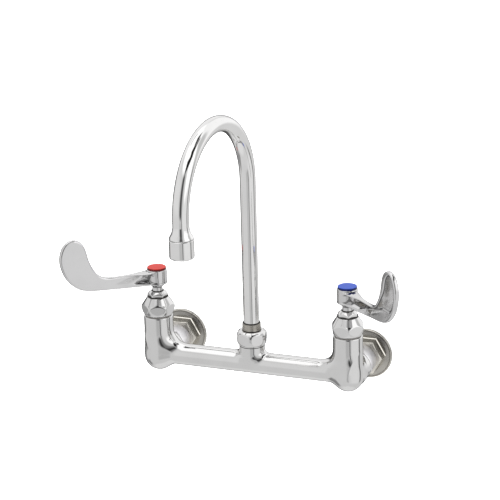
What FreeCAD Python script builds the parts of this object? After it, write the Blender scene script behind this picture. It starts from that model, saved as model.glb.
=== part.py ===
import FreeCAD, Part
import math
import os
from FreeCAD import Vector

# A wall-mounted mixing faucet with two wrist-blade handles and a swinging gooseneck spout.
# Millimetres. The origin lies on the wall, midway between the two inlets and level with them.
# X runs from the hot side to the cold side, minus Y points from the wall to the user, Z is up.

# Main sizes of the faucet
inlet_centres = 203.2
wall_gap = 63.0
post_top = 41.2
spout_reach = 146.3
spout_spring_height = 191.5
outlet_foot = 156.3
handle_reach = 101.6
blade_turn = 44.0
spout_turn = -3.5

# Fits and clearances
overrun = 1.0
running_fit = 0.05
screwed_fit = 0.05
slack = 0.3
seat_gap = 0.05

# Body casting
post_radius = 14.9
post_ball_height = -2.3
post_lip = 0.9
bar_radius = 11.05
bar_rise = 1.2
bar_bore_radius = 6.0
flare_radius = 13.6
flare_length = 15.0
rear_boss_radius = 16.5
rear_boss_reach = 23.0
rear_boss_lip = 0.8
boss_root_radius = 12.5
boss_root_length = 12.0
centre_boss_radius = 12.9
centre_boss_top = 21.5
centre_root_radius = 10.8
centre_root_height = 8.0

# Fillets where the posts and bosses meet the bar, and the shares of the bar's radius at which each is sliced
post_web_reach = 15.0
rear_web_reach = 8.0
centre_web_reach = 5.0
web_bite = 3.0
web_sink = 0.02
web_shares = [-0.93, -0.8, -0.55, -0.28, 0.0, 0.28, 0.55, 0.8, 0.93]

# Water ways in the casting
chamber_radius = 10.0
chamber_floor = 12.0
supply_well_radius = 5.4
supply_well_foot = -7.5
inlet_bore_radius = 5.6
bar_bore_start = 8.4
riser_radius = 2.4
riser_offset = 9.6
spout_well_foot = 4.0

# Wall inlets
flange_radius = 26.0
flange_thickness = 3.0
flange_edge = 0.8
inlet_hex_flats = 33.3
inlet_hex_length = 13.0
inlet_hex_corner_radius = 17.9
inlet_hex_chamfer = 1.9
tail_radius = 12.4
tail_thread_length = 10.5
tail_bore_radius = 8.0
pipe_thread_radius = 9.2
pipe_thread_depth = 16.0
pipe_thread_chamfer = 1.2
washer_thickness = 1.5
washer_radius = 15.7
locknut_rear_radius = 14.3
locknut_front_radius = 15.9
locknut_rounding = 2.2

# Valve seats
seat_radius = 6.5
seat_length = 7.5
seat_bore_radius = 4.4
seat_lip_height = 0.6
seat_lip_inner = 4.9
seat_lip_outer = 5.7
seat_key_flats = 8.4
seat_key_depth = 4.0

# Plungers with their seat washers
lift = 3.14
seat_washer_radius = 6.5
seat_washer_thickness = 2.5
screw_head_radius = 3.4
screw_head_height = 1.5
screw_shank_radius = 1.6
screw_shank_length = 5.5
screw_slot_width = 0.9
screw_slot_depth = 0.7
plunger_flats = 13.5
plunger_top_gap = 1.9
plunger_bore_radius = 4.1

# Stems
stem_foot = 24.0
stem_thread_radius = 4.0
collar_radius = 6.6
collar_foot = 35.2
collar_thickness = 2.4
stem_radius = 4.75
broach_radius = 4.2
broach_foot = 68.6
stem_top = 80.6
broach_sides = 12

# Bonnets
gasket_thickness = 0.8
gasket_radius = 13.2
bonnet_thread_radius = 11.5
bonnet_thread_length = 12.0
bonnet_barrel_radius = 9.6
bonnet_foot = 20.0
guide_flats = 13.8
bonnet_flats = 30.2
bonnet_rim_radius = 13.4
bonnet_skirt_radius = 14.5
bonnet_skirt_height = 1.1
bonnet_belt_radius = 17.2
bonnet_belt_foot = 49.9
bonnet_belt_top = 51.5
bonnet_shoulder_radius = 15.1
bonnet_shoulder_height = 54.3
bonnet_top_radius = 10.8
bonnet_top = 61.0
hot_bonnet_turn = -38.0
cold_bonnet_turn = -68.0

# Packings and packing nuts
neck_radius = 8.4
neck_height = 3.2
packing_radius = 7.0
packing_foot = 56.6
packing_height = 6.0
gland_thickness = 0.9
nut_base_radius = 10.5
nut_top_radius = 7.4
nut_gap = 1.0
nut_rim_height = 2.0
nut_top = 67.2
nut_crown = 2.2
nut_flats = 18.6
nut_hole_clearance = 0.5

# Handles
skirt_radius = 5.2
skirt_foot = 67.8
cone_foot = 71.8
hub_radius = 10.2
hub_foot = 75.6
hub_top = 90.2
blade_thickness = 5.5
blade_height = 57.4
arm_taper_length = 46.0
web_top = 87.0
web_foot = 82.0
pocket_top = 88.0
pocket_foot = 74.5
blade_edge = 1.6
handle_bore_top = 81.2
handle_screw_head_radius = 3.7
handle_screw_head_height = 2.4
handle_screw_radius = 2.0
handle_screw_length = 10.0
index_well_radius = 7.6
index_well_depth = 4.6
screw_well_foot = 82.4

# Points of the blade's outline, from the hub's rim out along the top and back along the underside.
# The first number is a share of the reach, the second a share of the blade's height over its foot.
blade_top_shares = [(0.226, 0.222), (0.335, 0.218), (0.443, 0.222), (0.512, 0.233), (0.573, 0.264),
                    (0.633, 0.356), (0.672, 0.470), (0.705, 0.617), (0.722, 0.744), (0.741, 0.852)]
blade_tip_shares = [(0.779, 0.945), (0.840, 0.998), (0.902, 0.987), (0.957, 0.904), (0.990, 0.777),
                    (1.000, 0.653), (0.989, 0.512), (0.947, 0.324), (0.882, 0.180), (0.804, 0.084)]
blade_foot_shares = [(0.704, 0.035), (0.600, 0.017), (0.498, 0.007), (0.341, 0.002)]

# Index buttons
index_radius = 9.6
index_height = 2.4
index_edge = 0.3

# Spout nut and swivel
spout_thread_radius = 11.7
spout_thread_length = 6.2
spout_nut_flats = 28.0
spout_nut_ball_radius = 15.4
spout_nut_ball_height = 28.8
spout_nut_top = 36.0
spout_nut_turn = -77.0
spout_nut_crown = 2.0
swivel_radius = 9.3
swivel_top = 43.6
swivel_edge = 0.7
swivel_shoulder_radius = 11.1
swivel_shoulder_thickness = 3.0
swivel_tail_radius = 9.9
swivel_foot = 8.0
bearing_thickness = 1.3
ring_seat_radius = 8.9
ring_wire_radius = 0.5
ring_groove_width = 1.4
lower_ring_height = 12.5
upper_ring_height = 19.0

# Gooseneck tube
tube_radius = 7.94
tube_wall = 1.0

# Outlet
outlet_radius = 11.85
outlet_sleeve_height = 18.5
outlet_rounding = 2.0
outlet_lip_hole_radius = 9.3
outlet_lip_height = 1.6
outlet_thread_radius = 10.4
outlet_groove = 0.7
outlet_cone_height = 12.2
outlet_thread_length = 12.6
tube_socket_depth = 13.0
regulator_thickness = 2.0
regulator_hole_radius = 0.75
regulator_pitch = 2.6
regulator_rings = 3
outlet_washer_thickness = 1.5
outlet_washer_bore_radius = 7.2

# The outlet's flare from its foot up: shares of the step from the tube to the sleeve, and of its height.
outlet_flare_shares = [(0.86, 0.0), (0.83, 0.113), (0.60, 0.261), (0.37, 0.409), (0.22, 0.583),
                       (0.12, 0.791), (0.08, 1.0)]

valve_side = inlet_centres / 2
full_turn = 360.0


def disc(radius, low, high):
    """A solid cylinder on the Z axis between two heights."""
    return Part.makeCylinder(radius, high - low, Vector(0, 0, low))


def tube_ring(outer, inner, low, high):
    """A cylinder on the Z axis with a round hole right through."""
    return disc(outer, low, high).cut(disc(inner, low - overrun, high + overrun))


def cone(low_radius, high_radius, low, high):
    """A straight cone on the Z axis between two heights."""
    return Part.makeCone(low_radius, high_radius, high - low, Vector(0, 0, low))


def prism(sides, corner_radius, low, high, turn):
    """A regular prism on the Z axis with one corner at the angle turn."""
    corners = []
    for index in range(sides + 1):
        angle = math.radians(turn + full_turn * index / sides)
        corners.append(Vector(corner_radius * math.cos(angle), corner_radius * math.sin(angle), low))
    return Part.Face(Part.makePolygon(corners)).extrude(Vector(0, 0, high - low))


def hexagon(flats, low, high, turn=0.0):
    """A hexagonal prism on the Z axis, given by its size across the flats."""
    return prism(6, flats / math.sqrt(3), low, high, turn)


def turned(points):
    """A solid of revolution about Z from a closed list of radius and height pairs."""
    corners = [Vector(radius, 0, height) for radius, height in points]
    corners.append(corners[0])
    return Part.Face(Part.makePolygon(corners)).revolve(Vector(0, 0, 0), Vector(0, 0, 1), full_turn)


def towards_wall(shape):
    """Turns a shape built along Z so that it lies along Y, its top towards the wall."""
    turned_shape = shape.copy()
    turned_shape.rotate(Vector(0, 0, 0), Vector(1, 0, 0), -90)
    return turned_shape


def along_bar(shape):
    """Turns a shape built along Z so that it lies along X."""
    turned_shape = shape.copy()
    turned_shape.rotate(Vector(0, 0, 0), Vector(0, 1, 0), 90)
    return turned_shape


def moved(shape, x, y, z):
    """A copy of a shape at another place."""
    copy = shape.copy()
    copy.translate(Vector(x, y, z))
    return copy


def swung(shape, turn):
    """A copy of a shape turned about the Z axis."""
    copy = shape.copy()
    copy.rotate(Vector(0, 0, 0), Vector(0, 0, 1), turn)
    return copy


def at_valve(shape, side):
    """Places a shape built on the valve's own axis, side being minus one for hot and one for cold."""
    return moved(shape, side * valve_side, -wall_gap, 0)


def at_inlet(shape, side):
    """Places a shape built along Z from the wall so that it lies on an inlet's axis."""
    return moved(towards_wall(shape), side * valve_side, 0, 0)


# Body casting

def trumpet(narrow, wide, start, length):
    """A solid of revolution about Z that swells by one arc from a narrow radius to a wide one."""
    growth = wide - narrow
    arc_radius = (length ** 2 + growth ** 2) / (2 * growth)
    half_sweep = math.asin(length / arc_radius) / 2
    low = Vector(narrow, 0, start)
    high = Vector(wide, 0, start + length)
    middle = Vector(narrow + arc_radius * (1 - math.cos(half_sweep)), 0,
                    start + arc_radius * math.sin(half_sweep))
    foot = Vector(0, 0, start)
    head = Vector(0, 0, start + length)
    edges = [Part.makeLine(foot, low), Part.Arc(low, middle, high).toShape(),
             Part.makeLine(high, head), Part.makeLine(head, foot)]
    return Part.Face(Part.Wire(edges)).revolve(Vector(0, 0, 0), Vector(0, 0, 1), full_turn)


def post_solid():
    """One upright post with its round foot, on the valve's axis."""
    stem = disc(post_radius, post_ball_height, post_top - post_lip)
    lip = cone(post_radius, post_radius - post_lip, post_top - post_lip, post_top)
    return stem.fuse(lip).fuse(Part.makeSphere(post_radius, Vector(0, 0, post_ball_height)))


def rear_boss():
    """The boss behind a post, along Z with its face towards the wall, measured from the wall."""
    face = rear_boss_reach - wall_gap
    root = cone(boss_root_radius, rear_boss_radius, -wall_gap, -wall_gap + boss_root_length)
    barrel = disc(rear_boss_radius, -wall_gap + boss_root_length, face - rear_boss_lip)
    lip = cone(rear_boss_radius, rear_boss_radius - rear_boss_lip, face - rear_boss_lip, face)
    return root.fuse(barrel).fuse(lip)


def fillet_web(boss_radius, reach):
    """The hollow fillet on the bar beside a boss that stands along Z, on its plus X side."""
    slices = []
    for share in web_shares:
        across = share * bar_radius
        span = reach * math.sqrt(1 - share ** 2)
        near = span * (1 - math.sqrt(0.5))
        side = math.sqrt(boss_radius ** 2 - across ** 2) - web_sink
        top = math.sqrt(bar_radius ** 2 - across ** 2) - web_sink
        high = Vector(side, across, top + span)
        middle = Vector(side + near, across, top + near)
        far = Vector(side + span, across, top)
        root = Vector(side - web_bite, across, top - web_bite)
        slices.append(Part.Wire([Part.Arc(high, middle, far).toShape(), Part.makeLine(far, root),
                                 Part.makeLine(root, high)]))
    return Part.makeLoft(slices, True, False)


def valve_ways():
    """The space inside a post: the bonnet's thread, the chamber, the seat's thread and the supply well."""
    ways = disc(bonnet_thread_radius, post_top - bonnet_thread_length, post_top + overrun)
    ways = ways.fuse(disc(chamber_radius, chamber_floor, post_top))
    ways = ways.fuse(disc(seat_radius, chamber_floor - seat_length, chamber_floor + overrun))
    return ways.fuse(disc(supply_well_radius, supply_well_foot, chamber_floor))


def inlet_ways():
    """The way in from a rear boss to the supply well, with the tail's thread."""
    face = rear_boss_reach - wall_gap
    thread = disc(tail_radius + screwed_fit, face - tail_thread_length, face + overrun)
    return thread.fuse(disc(inlet_bore_radius, -wall_gap, face))


def body_casting():
    """The one-piece brass casting that holds both valves and the spout."""
    shell = moved(along_bar(disc(bar_radius, -valve_side, valve_side)), 0, -wall_gap, bar_rise)
    bore_end = valve_side - bar_bore_start
    ways = moved(along_bar(disc(bar_bore_radius, -bore_end, bore_end)), 0, -wall_gap, bar_rise)
    for side in (-1, 1):
        flare = along_bar(trumpet(bar_radius, flare_radius, valve_side - flare_length, flare_length))
        if side < 0:
            flare = swung(flare, full_turn / 2)
        shell = shell.fuse(moved(flare, 0, -wall_gap, bar_rise))
        shell = shell.fuse(at_valve(post_solid(), side)).fuse(at_inlet(rear_boss(), side))
        inward = full_turn / 2 if side > 0 else 0
        post_web = swung(fillet_web(post_radius, post_web_reach), inward)
        rear_web = towards_wall(swung(fillet_web(rear_boss_radius, rear_web_reach), inward))
        shell = shell.fuse(at_valve(moved(post_web, 0, 0, bar_rise), side))
        shell = shell.fuse(at_valve(moved(rear_web, 0, 0, bar_rise), side))
        ways = ways.fuse(at_valve(valve_ways(), side)).fuse(at_inlet(inlet_ways(), side))
        riser = moved(disc(riser_radius, bar_rise, chamber_floor + overrun), -side * riser_offset, 0, 0)
        ways = ways.fuse(at_valve(riser, side))
    root_top = bar_rise + centre_root_height
    root = cone(centre_root_radius, centre_boss_radius, bar_rise, root_top)
    centre = root.fuse(disc(centre_boss_radius, root_top, centre_boss_top))
    neck_top = centre_boss_top + spout_thread_length
    centre = centre.fuse(disc(spout_thread_radius - screwed_fit, centre_boss_top, neck_top))
    shell = shell.fuse(moved(centre, 0, -wall_gap, 0))
    for turn in (0, full_turn / 2):
        centre_web = swung(fillet_web(centre_boss_radius, centre_web_reach), turn)
        shell = shell.fuse(moved(centre_web, 0, -wall_gap, bar_rise))
    well = disc(swivel_tail_radius + running_fit, spout_well_foot, neck_top + overrun)
    return shell.cut(ways.fuse(moved(well, 0, -wall_gap, 0))).removeSplitter()


# Wall inlets

def inlet_adapter():
    """The flanged inlet: wall flange, hexagon and threaded tail in one piece, along Z from the wall."""
    flange = disc(flange_radius, -flange_thickness + flange_edge, 0)
    flange = flange.fuse(cone(flange_radius - flange_edge, flange_radius, -flange_thickness,
                              -flange_thickness + flange_edge))
    front = -flange_thickness - inlet_hex_length
    blank = disc(flange_radius, front + inlet_hex_chamfer, -flange_thickness)
    blank = blank.fuse(cone(inlet_hex_corner_radius, flange_radius, front, front + inlet_hex_chamfer * 2))
    nut = hexagon(inlet_hex_flats, front, -flange_thickness).common(blank)
    tail_end = rear_boss_reach - wall_gap - tail_thread_length + slack
    body = flange.fuse(nut).fuse(disc(tail_radius, tail_end, front))
    thread = disc(pipe_thread_radius, -pipe_thread_depth, overrun)
    mouth = cone(pipe_thread_radius, pipe_thread_radius + pipe_thread_chamfer, -pipe_thread_chamfer, 0)
    way = disc(tail_bore_radius, tail_end - overrun, 0)
    return body.cut(thread.fuse(mouth).fuse(way))


def inlet_locknut():
    """The smooth round locknut between the hexagon and the casting, along Z from the wall."""
    rear = -flange_thickness - inlet_hex_length - slack
    front = rear_boss_reach - wall_gap + washer_thickness
    body = cone(locknut_front_radius, locknut_rear_radius, front + locknut_rounding, rear)
    body = body.fuse(cone(locknut_front_radius - locknut_rounding / 2, locknut_front_radius,
                          front, front + locknut_rounding))
    return body.cut(disc(tail_radius + screwed_fit, front - overrun, rear + overrun))


def inlet_washer():
    """The sealing washer between the locknut and the casting, along Z from the wall."""
    front = rear_boss_reach - wall_gap
    return tube_ring(washer_radius, tail_radius + screwed_fit, front, front + washer_thickness)


# Valve seats, plungers and stems

def valve_seat():
    """A screwed-in seat with a raised lip and a hexagonal hole for its key."""
    foot = chamber_floor - seat_length
    body = disc(seat_radius - screwed_fit, foot, chamber_floor)
    lip = tube_ring(seat_lip_outer, seat_lip_inner, chamber_floor, chamber_floor + seat_lip_height)
    way = disc(seat_bore_radius, foot - overrun, chamber_floor + overrun)
    key = hexagon(seat_key_flats, foot - overrun, foot + seat_key_depth)
    return body.fuse(lip).cut(way.fuse(key))


washer_foot = chamber_floor + seat_lip_height + seat_gap
plunger_foot = washer_foot + seat_washer_thickness


def seat_washer():
    """The rubber washer that closes on the seat."""
    return tube_ring(seat_washer_radius, screw_shank_radius + running_fit, washer_foot, plunger_foot)


def washer_screw():
    """The slotted screw that holds the seat washer on the plunger."""
    head = disc(screw_head_radius, washer_foot - screw_head_height, washer_foot)
    shank = disc(screw_shank_radius, washer_foot, plunger_foot + screw_shank_length)
    slot = Part.makeBox(2 * screw_head_radius + 2 * overrun, screw_slot_width, screw_slot_depth + overrun,
                        Vector(-screw_head_radius - overrun, -screw_slot_width / 2,
                               washer_foot - screw_head_height - overrun))
    return head.fuse(shank).cut(slot)


def plunger():
    """The hexagonal plunger that slides in the bonnet and is driven by the stem's thread."""
    top = collar_foot - lift - plunger_top_gap
    body = hexagon(plunger_flats, plunger_foot, top)
    screw_hole = disc(screw_shank_radius + screwed_fit, plunger_foot - overrun,
                      plunger_foot + screw_shank_length + slack)
    drive = disc(plunger_bore_radius, stem_foot - lift - 2 * slack, top + overrun)
    return body.cut(screw_hole.fuse(drive))


def stem(turn):
    """The stem: driving thread, thrust collar, polished shaft and the broach that carries the handle."""
    body = disc(stem_thread_radius, stem_foot, collar_foot)
    body = body.fuse(disc(collar_radius, collar_foot, collar_foot + collar_thickness))
    body = body.fuse(disc(stem_radius, collar_foot + collar_thickness, broach_foot))
    body = body.fuse(prism(broach_sides, broach_radius, broach_foot, stem_top, turn))
    hole_foot = screw_well_foot - handle_screw_length - slack
    return body.cut(disc(handle_screw_radius + screwed_fit, hole_foot, stem_top + overrun))


# Bonnets, packings and packing nuts

bonnet_seat = post_top + gasket_thickness
collar_seat = collar_foot + collar_thickness + seat_gap


def bonnet(turn):
    """The bonnet: threaded barrel with its hexagonal guide, belted hexagon and threaded neck."""
    belt = turned([(0, bonnet_seat), (bonnet_rim_radius, bonnet_seat),
                   (bonnet_skirt_radius, bonnet_seat + bonnet_skirt_height),
                   (bonnet_belt_radius, bonnet_belt_foot), (bonnet_belt_radius, bonnet_belt_top),
                   (bonnet_shoulder_radius, bonnet_shoulder_height), (bonnet_top_radius, bonnet_top),
                   (0, bonnet_top)])
    body = belt.common(hexagon(bonnet_flats, bonnet_seat, bonnet_top, turn))
    thread_foot = post_top - bonnet_thread_length + slack
    body = body.fuse(disc(bonnet_thread_radius - screwed_fit, thread_foot, bonnet_seat))
    body = body.fuse(disc(bonnet_barrel_radius, bonnet_foot, bonnet_seat))
    body = body.fuse(disc(neck_radius, bonnet_top, bonnet_top + neck_height))
    guide = hexagon(guide_flats, bonnet_foot - overrun, collar_seat)
    bore = disc(stem_radius + running_fit, collar_seat - overrun, bonnet_top + overrun)
    packing_well = disc(packing_radius, packing_foot, bonnet_top + neck_height + overrun)
    return body.cut(guide.fuse(bore).fuse(packing_well))


def bonnet_gasket():
    """The fibre gasket between the bonnet and the post."""
    return tube_ring(gasket_radius, bonnet_thread_radius, post_top, bonnet_seat)


def packing():
    """The soft packing round the stem."""
    return tube_ring(packing_radius - screwed_fit, stem_radius + running_fit, packing_foot,
                     packing_foot + packing_height)


def packing_gland():
    """The brass ring between the packing and its nut."""
    low = packing_foot + packing_height
    return tube_ring(packing_radius - screwed_fit, stem_radius + running_fit, low, low + gland_thickness)


def packing_nut(turn):
    """The small domed nut that squeezes the packing."""
    crown = nut_top - nut_crown
    shoulder = (nut_base_radius + nut_top_radius) / 2 + nut_hole_clearance
    foot = bonnet_top + nut_gap
    outline = [(0, foot), (nut_base_radius, foot), (nut_base_radius, foot + nut_rim_height),
               (shoulder, crown), (nut_top_radius, nut_top), (0, nut_top)]
    body = turned(outline).common(hexagon(nut_flats, foot, nut_top, turn))
    ceiling = bonnet_top + neck_height
    body = body.cut(disc(neck_radius + screwed_fit, bonnet_top - overrun, ceiling))
    return body.cut(disc(stem_radius + nut_hole_clearance, ceiling - overrun, nut_top + overrun))


# Handles

def blade_outline():
    """The side outline of the arm and blade in the X Z plane, the hub's axis being Z."""
    def place(share):
        return Vector(share[0] * handle_reach, 0, hub_foot + share[1] * blade_height)
    top_start = Vector(0, 0, hub_top - index_edge)
    foot_end = Vector(0, 0, hub_foot)
    curve = Part.BSplineCurve()
    curve.interpolate([top_start] + [place(share) for share in
                                     blade_top_shares + blade_tip_shares + blade_foot_shares] + [foot_end])
    return Part.Face(Part.Wire([curve.toShape(), Part.makeLine(foot_end, top_start)]))


def arm_plan():
    """The arm seen from above: as wide as the hub at the root, then tapering to the blade."""
    half = blade_thickness / 2
    points = [(0, hub_radius), (arm_taper_length, half), (arm_taper_length, -half), (0, -hub_radius),
              (0, hub_radius)]
    low = hub_foot - overrun
    face = Part.Face(Part.makePolygon([Vector(x, y, low) for x, y in points]))
    return face.extrude(Vector(0, 0, blade_height + 2 * overrun))


def arm_pocket(side):
    """The hollow along one face of the arm, between its top flange and the ledge under it."""
    half = side * blade_thickness / 2
    rim = side * (hub_radius + overrun)
    points = [(half, web_foot), (rim, pocket_foot), (rim, pocket_top), (half, web_top), (half, web_foot)]
    face = Part.Face(Part.makePolygon([Vector(0, y, z) for y, z in points]))
    return face.extrude(Vector(arm_taper_length, 0, 0))


def level_in_y(edge):
    """Whether an edge lies in one plane square to Y."""
    return edge.BoundBox.YLength < overrun / 100


def upright(edge):
    """Whether an edge is a straight line along Z."""
    return edge.BoundBox.XLength < overrun / 100


def handle(turn):
    """A wrist-blade handle: hub, hollowed arm and upswept blade, with its broach and screw well."""
    blade = moved(blade_outline().extrude(Vector(0, blade_thickness, 0)), 0, -blade_thickness / 2, 0)
    rims = [edge for edge in blade.Edges if level_in_y(edge) and not upright(edge)]
    blade = blade.makeFillet(blade_edge, rims)
    arm = moved(blade_outline().extrude(Vector(0, 2 * hub_radius, 0)), 0, -hub_radius, 0)
    arm = arm.common(arm_plan()).cut(arm_pocket(1)).cut(arm_pocket(-1))
    hub = disc(hub_radius, hub_foot, hub_top).fuse(cone(skirt_radius, hub_radius, cone_foot, hub_foot))
    hub = hub.fuse(disc(skirt_radius, skirt_foot, cone_foot))
    body = arm.fuse(hub).fuse(blade)
    hole = prism(broach_sides, broach_radius + screwed_fit, broach_foot, handle_bore_top, 0)
    hole = hole.fuse(disc(stem_radius + screwed_fit, skirt_foot - overrun, broach_foot + slack))
    hole = hole.fuse(disc(handle_screw_radius + slack, handle_bore_top - overrun, screw_well_foot + overrun))
    hole = hole.fuse(disc(handle_screw_head_radius + slack, screw_well_foot, hub_top))
    hole = hole.fuse(disc(index_well_radius, hub_top - index_well_depth, hub_top + overrun))
    return swung(body.cut(hole), turn)


def handle_screw():
    """The screw that holds the handle down on the stem."""
    head = disc(handle_screw_head_radius, screw_well_foot, screw_well_foot + handle_screw_head_height)
    shank = disc(handle_screw_radius, screw_well_foot - handle_screw_length, screw_well_foot)
    slot = Part.makeBox(2 * handle_screw_head_radius + 2 * overrun, screw_slot_width,
                        screw_slot_depth + overrun,
                        Vector(-handle_screw_head_radius - overrun, -screw_slot_width / 2,
                               screw_well_foot + handle_screw_head_height - screw_slot_depth))
    return head.fuse(shank).cut(slot)


def index_button():
    """The coloured button that covers the handle's screw."""
    top = hub_top + index_height
    plug = disc(index_well_radius - screwed_fit, hub_top - index_well_depth + slack, hub_top)
    rim = disc(index_radius, hub_top, top - index_edge)
    return plug.fuse(rim).fuse(cone(index_radius, index_radius - index_edge, top - index_edge, top))


# Spout

shoulder_foot = centre_boss_top + spout_thread_length + slack
shoulder_top = shoulder_foot + swivel_shoulder_thickness
bearing_foot = shoulder_top + seat_gap
bearing_top = bearing_foot + bearing_thickness


def spout_nut():
    """The domed nut that holds the spout's swivel down in the casting."""
    ball = Part.makeSphere(spout_nut_ball_radius, Vector(0, 0, spout_nut_ball_height))
    body = hexagon(spout_nut_flats, centre_boss_top, spout_nut_top, spout_nut_turn).common(ball)
    shoulder = spout_nut_top - 2 * spout_nut_crown
    crown = cone(spout_nut_ball_radius, swivel_radius + 2 * spout_nut_crown, shoulder, spout_nut_top)
    body = body.common(disc(spout_nut_ball_radius, centre_boss_top, shoulder).fuse(crown))
    body = body.cut(disc(spout_thread_radius, centre_boss_top - overrun, bearing_top))
    return body.cut(disc(swivel_radius + running_fit, bearing_top - overrun, spout_nut_top + overrun))


def spout_bearing():
    """The plain bearing ring between the swivel's shoulder and the nut."""
    outer = spout_thread_radius - screwed_fit
    return tube_ring(outer, swivel_radius + running_fit, bearing_foot, bearing_top)


def spout_swivel():
    """The swivel sleeve on the tube's foot: collar, shoulder and tail with two grooves for rings."""
    body = disc(swivel_radius, shoulder_top, swivel_top - swivel_edge)
    body = body.fuse(cone(swivel_radius, swivel_radius - swivel_edge, swivel_top - swivel_edge, swivel_top))
    body = body.fuse(disc(swivel_shoulder_radius, shoulder_foot, shoulder_top))
    body = body.fuse(disc(swivel_tail_radius, swivel_foot, shoulder_foot))
    for height in (lower_ring_height, upper_ring_height):
        groove = tube_ring(swivel_tail_radius + overrun, ring_seat_radius,
                           height - ring_groove_width / 2, height + ring_groove_width / 2)
        body = body.cut(groove)
    return body.cut(disc(tube_radius + screwed_fit, swivel_foot - overrun, swivel_top + overrun))


def swivel_rings():
    """The two rubber rings that seal the swivel in the casting."""
    rings = [Part.makeTorus(ring_seat_radius + ring_wire_radius, ring_wire_radius, Vector(0, 0, height))
             for height in (lower_ring_height, upper_ring_height)]
    return Part.makeCompound(rings)


spout_bend_radius = spout_reach / 2
tube_end = outlet_foot + outlet_sleeve_height + outlet_cone_height - tube_socket_depth


def gooseneck(radius):
    """A bar that follows the spout's line: up, over in a half circle, and down to the outlet."""
    foot = Vector(0, 0, swivel_foot)
    spring = Vector(0, 0, spout_spring_height)
    crown = Vector(0, -spout_bend_radius, spout_spring_height + spout_bend_radius)
    landing = Vector(0, -spout_reach, spout_spring_height)
    path = Part.Wire([Part.makeLine(foot, spring), Part.Arc(spring, crown, landing).toShape(),
                      Part.makeLine(landing, Vector(0, -spout_reach, tube_end))])
    section = Part.Wire([Part.makeCircle(radius, foot, Vector(0, 0, 1))])
    return path.makePipeShell([section], True, False)


def spout_tube():
    """The bent gooseneck tube."""
    return gooseneck(tube_radius).cut(gooseneck(tube_radius - tube_wall))


outlet_top = outlet_foot + outlet_sleeve_height
cone_low = outlet_top + outlet_groove
cone_high = outlet_top + outlet_cone_height


def outlet_adapter():
    """The cone brazed to the tube's end, with the thread that carries the outlet sleeve."""
    flare = [(tube_radius + step * (outlet_radius - tube_radius), cone_low + rise * (cone_high - cone_low))
             for step, rise in outlet_flare_shares]
    body = turned([(0, cone_low), *flare, (0, cone_high)])
    body = body.fuse(disc(outlet_thread_radius - screwed_fit, outlet_top - outlet_thread_length, cone_low))
    body = body.cut(disc(tube_radius + screwed_fit, tube_end, cone_high + overrun))
    way_foot = outlet_top - outlet_thread_length - overrun
    body = body.cut(disc(tube_radius - tube_wall, way_foot, tube_end + overrun))
    return moved(body, 0, -spout_reach, 0)


def outlet_sleeve():
    """The smooth sleeve screwed over the outlet."""
    body = disc(outlet_radius, outlet_foot, outlet_top)
    body = body.makeFillet(outlet_rounding, [edge for edge in body.Edges
                                             if edge.BoundBox.ZMax < outlet_foot + outlet_rounding])
    body = body.cut(disc(outlet_lip_hole_radius, outlet_foot - overrun, outlet_top))
    body = body.cut(disc(outlet_thread_radius, outlet_foot + outlet_lip_height, outlet_top + overrun))
    return moved(body, 0, -spout_reach, 0)


regulator_foot = outlet_foot + outlet_lip_height
outlet_washer_foot = regulator_foot + regulator_thickness


def stream_regulator():
    """The perforated disc that straightens the stream."""
    plate = disc(outlet_thread_radius - screwed_fit, regulator_foot, outlet_washer_foot)
    holes = [disc(regulator_hole_radius, regulator_foot - overrun, outlet_washer_foot + overrun)]
    for ring in range(1, regulator_rings + 1):
        count = 6 * ring
        for index in range(count):
            angle = 2 * math.pi * index / count
            holes.append(moved(holes[0], ring * regulator_pitch * math.cos(angle),
                               ring * regulator_pitch * math.sin(angle), 0))
    return moved(plate.cut(Part.makeCompound(holes)), 0, -spout_reach, 0)


def outlet_washer():
    """The rubber washer between the regulator and the adapter."""
    body = tube_ring(outlet_thread_radius - screwed_fit, outlet_washer_bore_radius, outlet_washer_foot,
                     outlet_washer_foot + outlet_washer_thickness)
    return moved(body, 0, -spout_reach, 0)


# Every piece under the name of its node

def valve_pieces(name, side, bonnet_turn, handle_turn):
    """All pieces of one valve, its handle and its wall inlet."""
    pieces = {"valve_seat": valve_seat(), "seat_washer": seat_washer(), "washer_screw": washer_screw(),
              "plunger": plunger(), "stem": stem(handle_turn), "bonnet": bonnet(bonnet_turn),
              "bonnet_gasket": bonnet_gasket(), "packing": packing(), "packing_gland": packing_gland(),
              "packing_nut": packing_nut(bonnet_turn), "handle": handle(handle_turn),
              "handle_screw": handle_screw(), "index_button": index_button()}
    placed = {name + "_" + key: at_valve(shape, side) for key, shape in pieces.items()}
    wall = {"inlet_adapter": inlet_adapter(), "inlet_locknut": inlet_locknut(),
            "inlet_washer": inlet_washer()}
    placed.update({name + "_" + key: at_inlet(shape, side) for key, shape in wall.items()})
    return placed


def spout_pieces():
    """All pieces on the spout's axis: the nut and the bearing, and the ones that swing."""
    pieces = {"spout_nut": spout_nut(), "spout_bearing": spout_bearing()}
    swinging = {"spout_swivel": spout_swivel(), "swivel_rings": swivel_rings(), "spout_tube": spout_tube(),
                "outlet_adapter": outlet_adapter(), "outlet_sleeve": outlet_sleeve(),
                "stream_regulator": stream_regulator(), "outlet_washer": outlet_washer()}
    pieces.update({key: swung(shape, spout_turn) for key, shape in swinging.items()})
    return {key: moved(shape, 0, -wall_gap, 0) for key, shape in pieces.items()}


nodes = {"body_casting": body_casting()}
nodes.update(valve_pieces("hot", -1, hot_bonnet_turn, blade_turn - full_turn / 2))
nodes.update(valve_pieces("cold", 1, cold_bonnet_turn, -blade_turn))
nodes.update(spout_pieces())

os.makedirs("parts", exist_ok=True)
for node, shape in nodes.items():
    shape.exportStep("parts/" + node + ".step")
    state = "valid" if shape.isValid() else "NOT VALID"
    print(node, len(shape.Solids), "solids", round(shape.Volume), "mm3", state)
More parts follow.
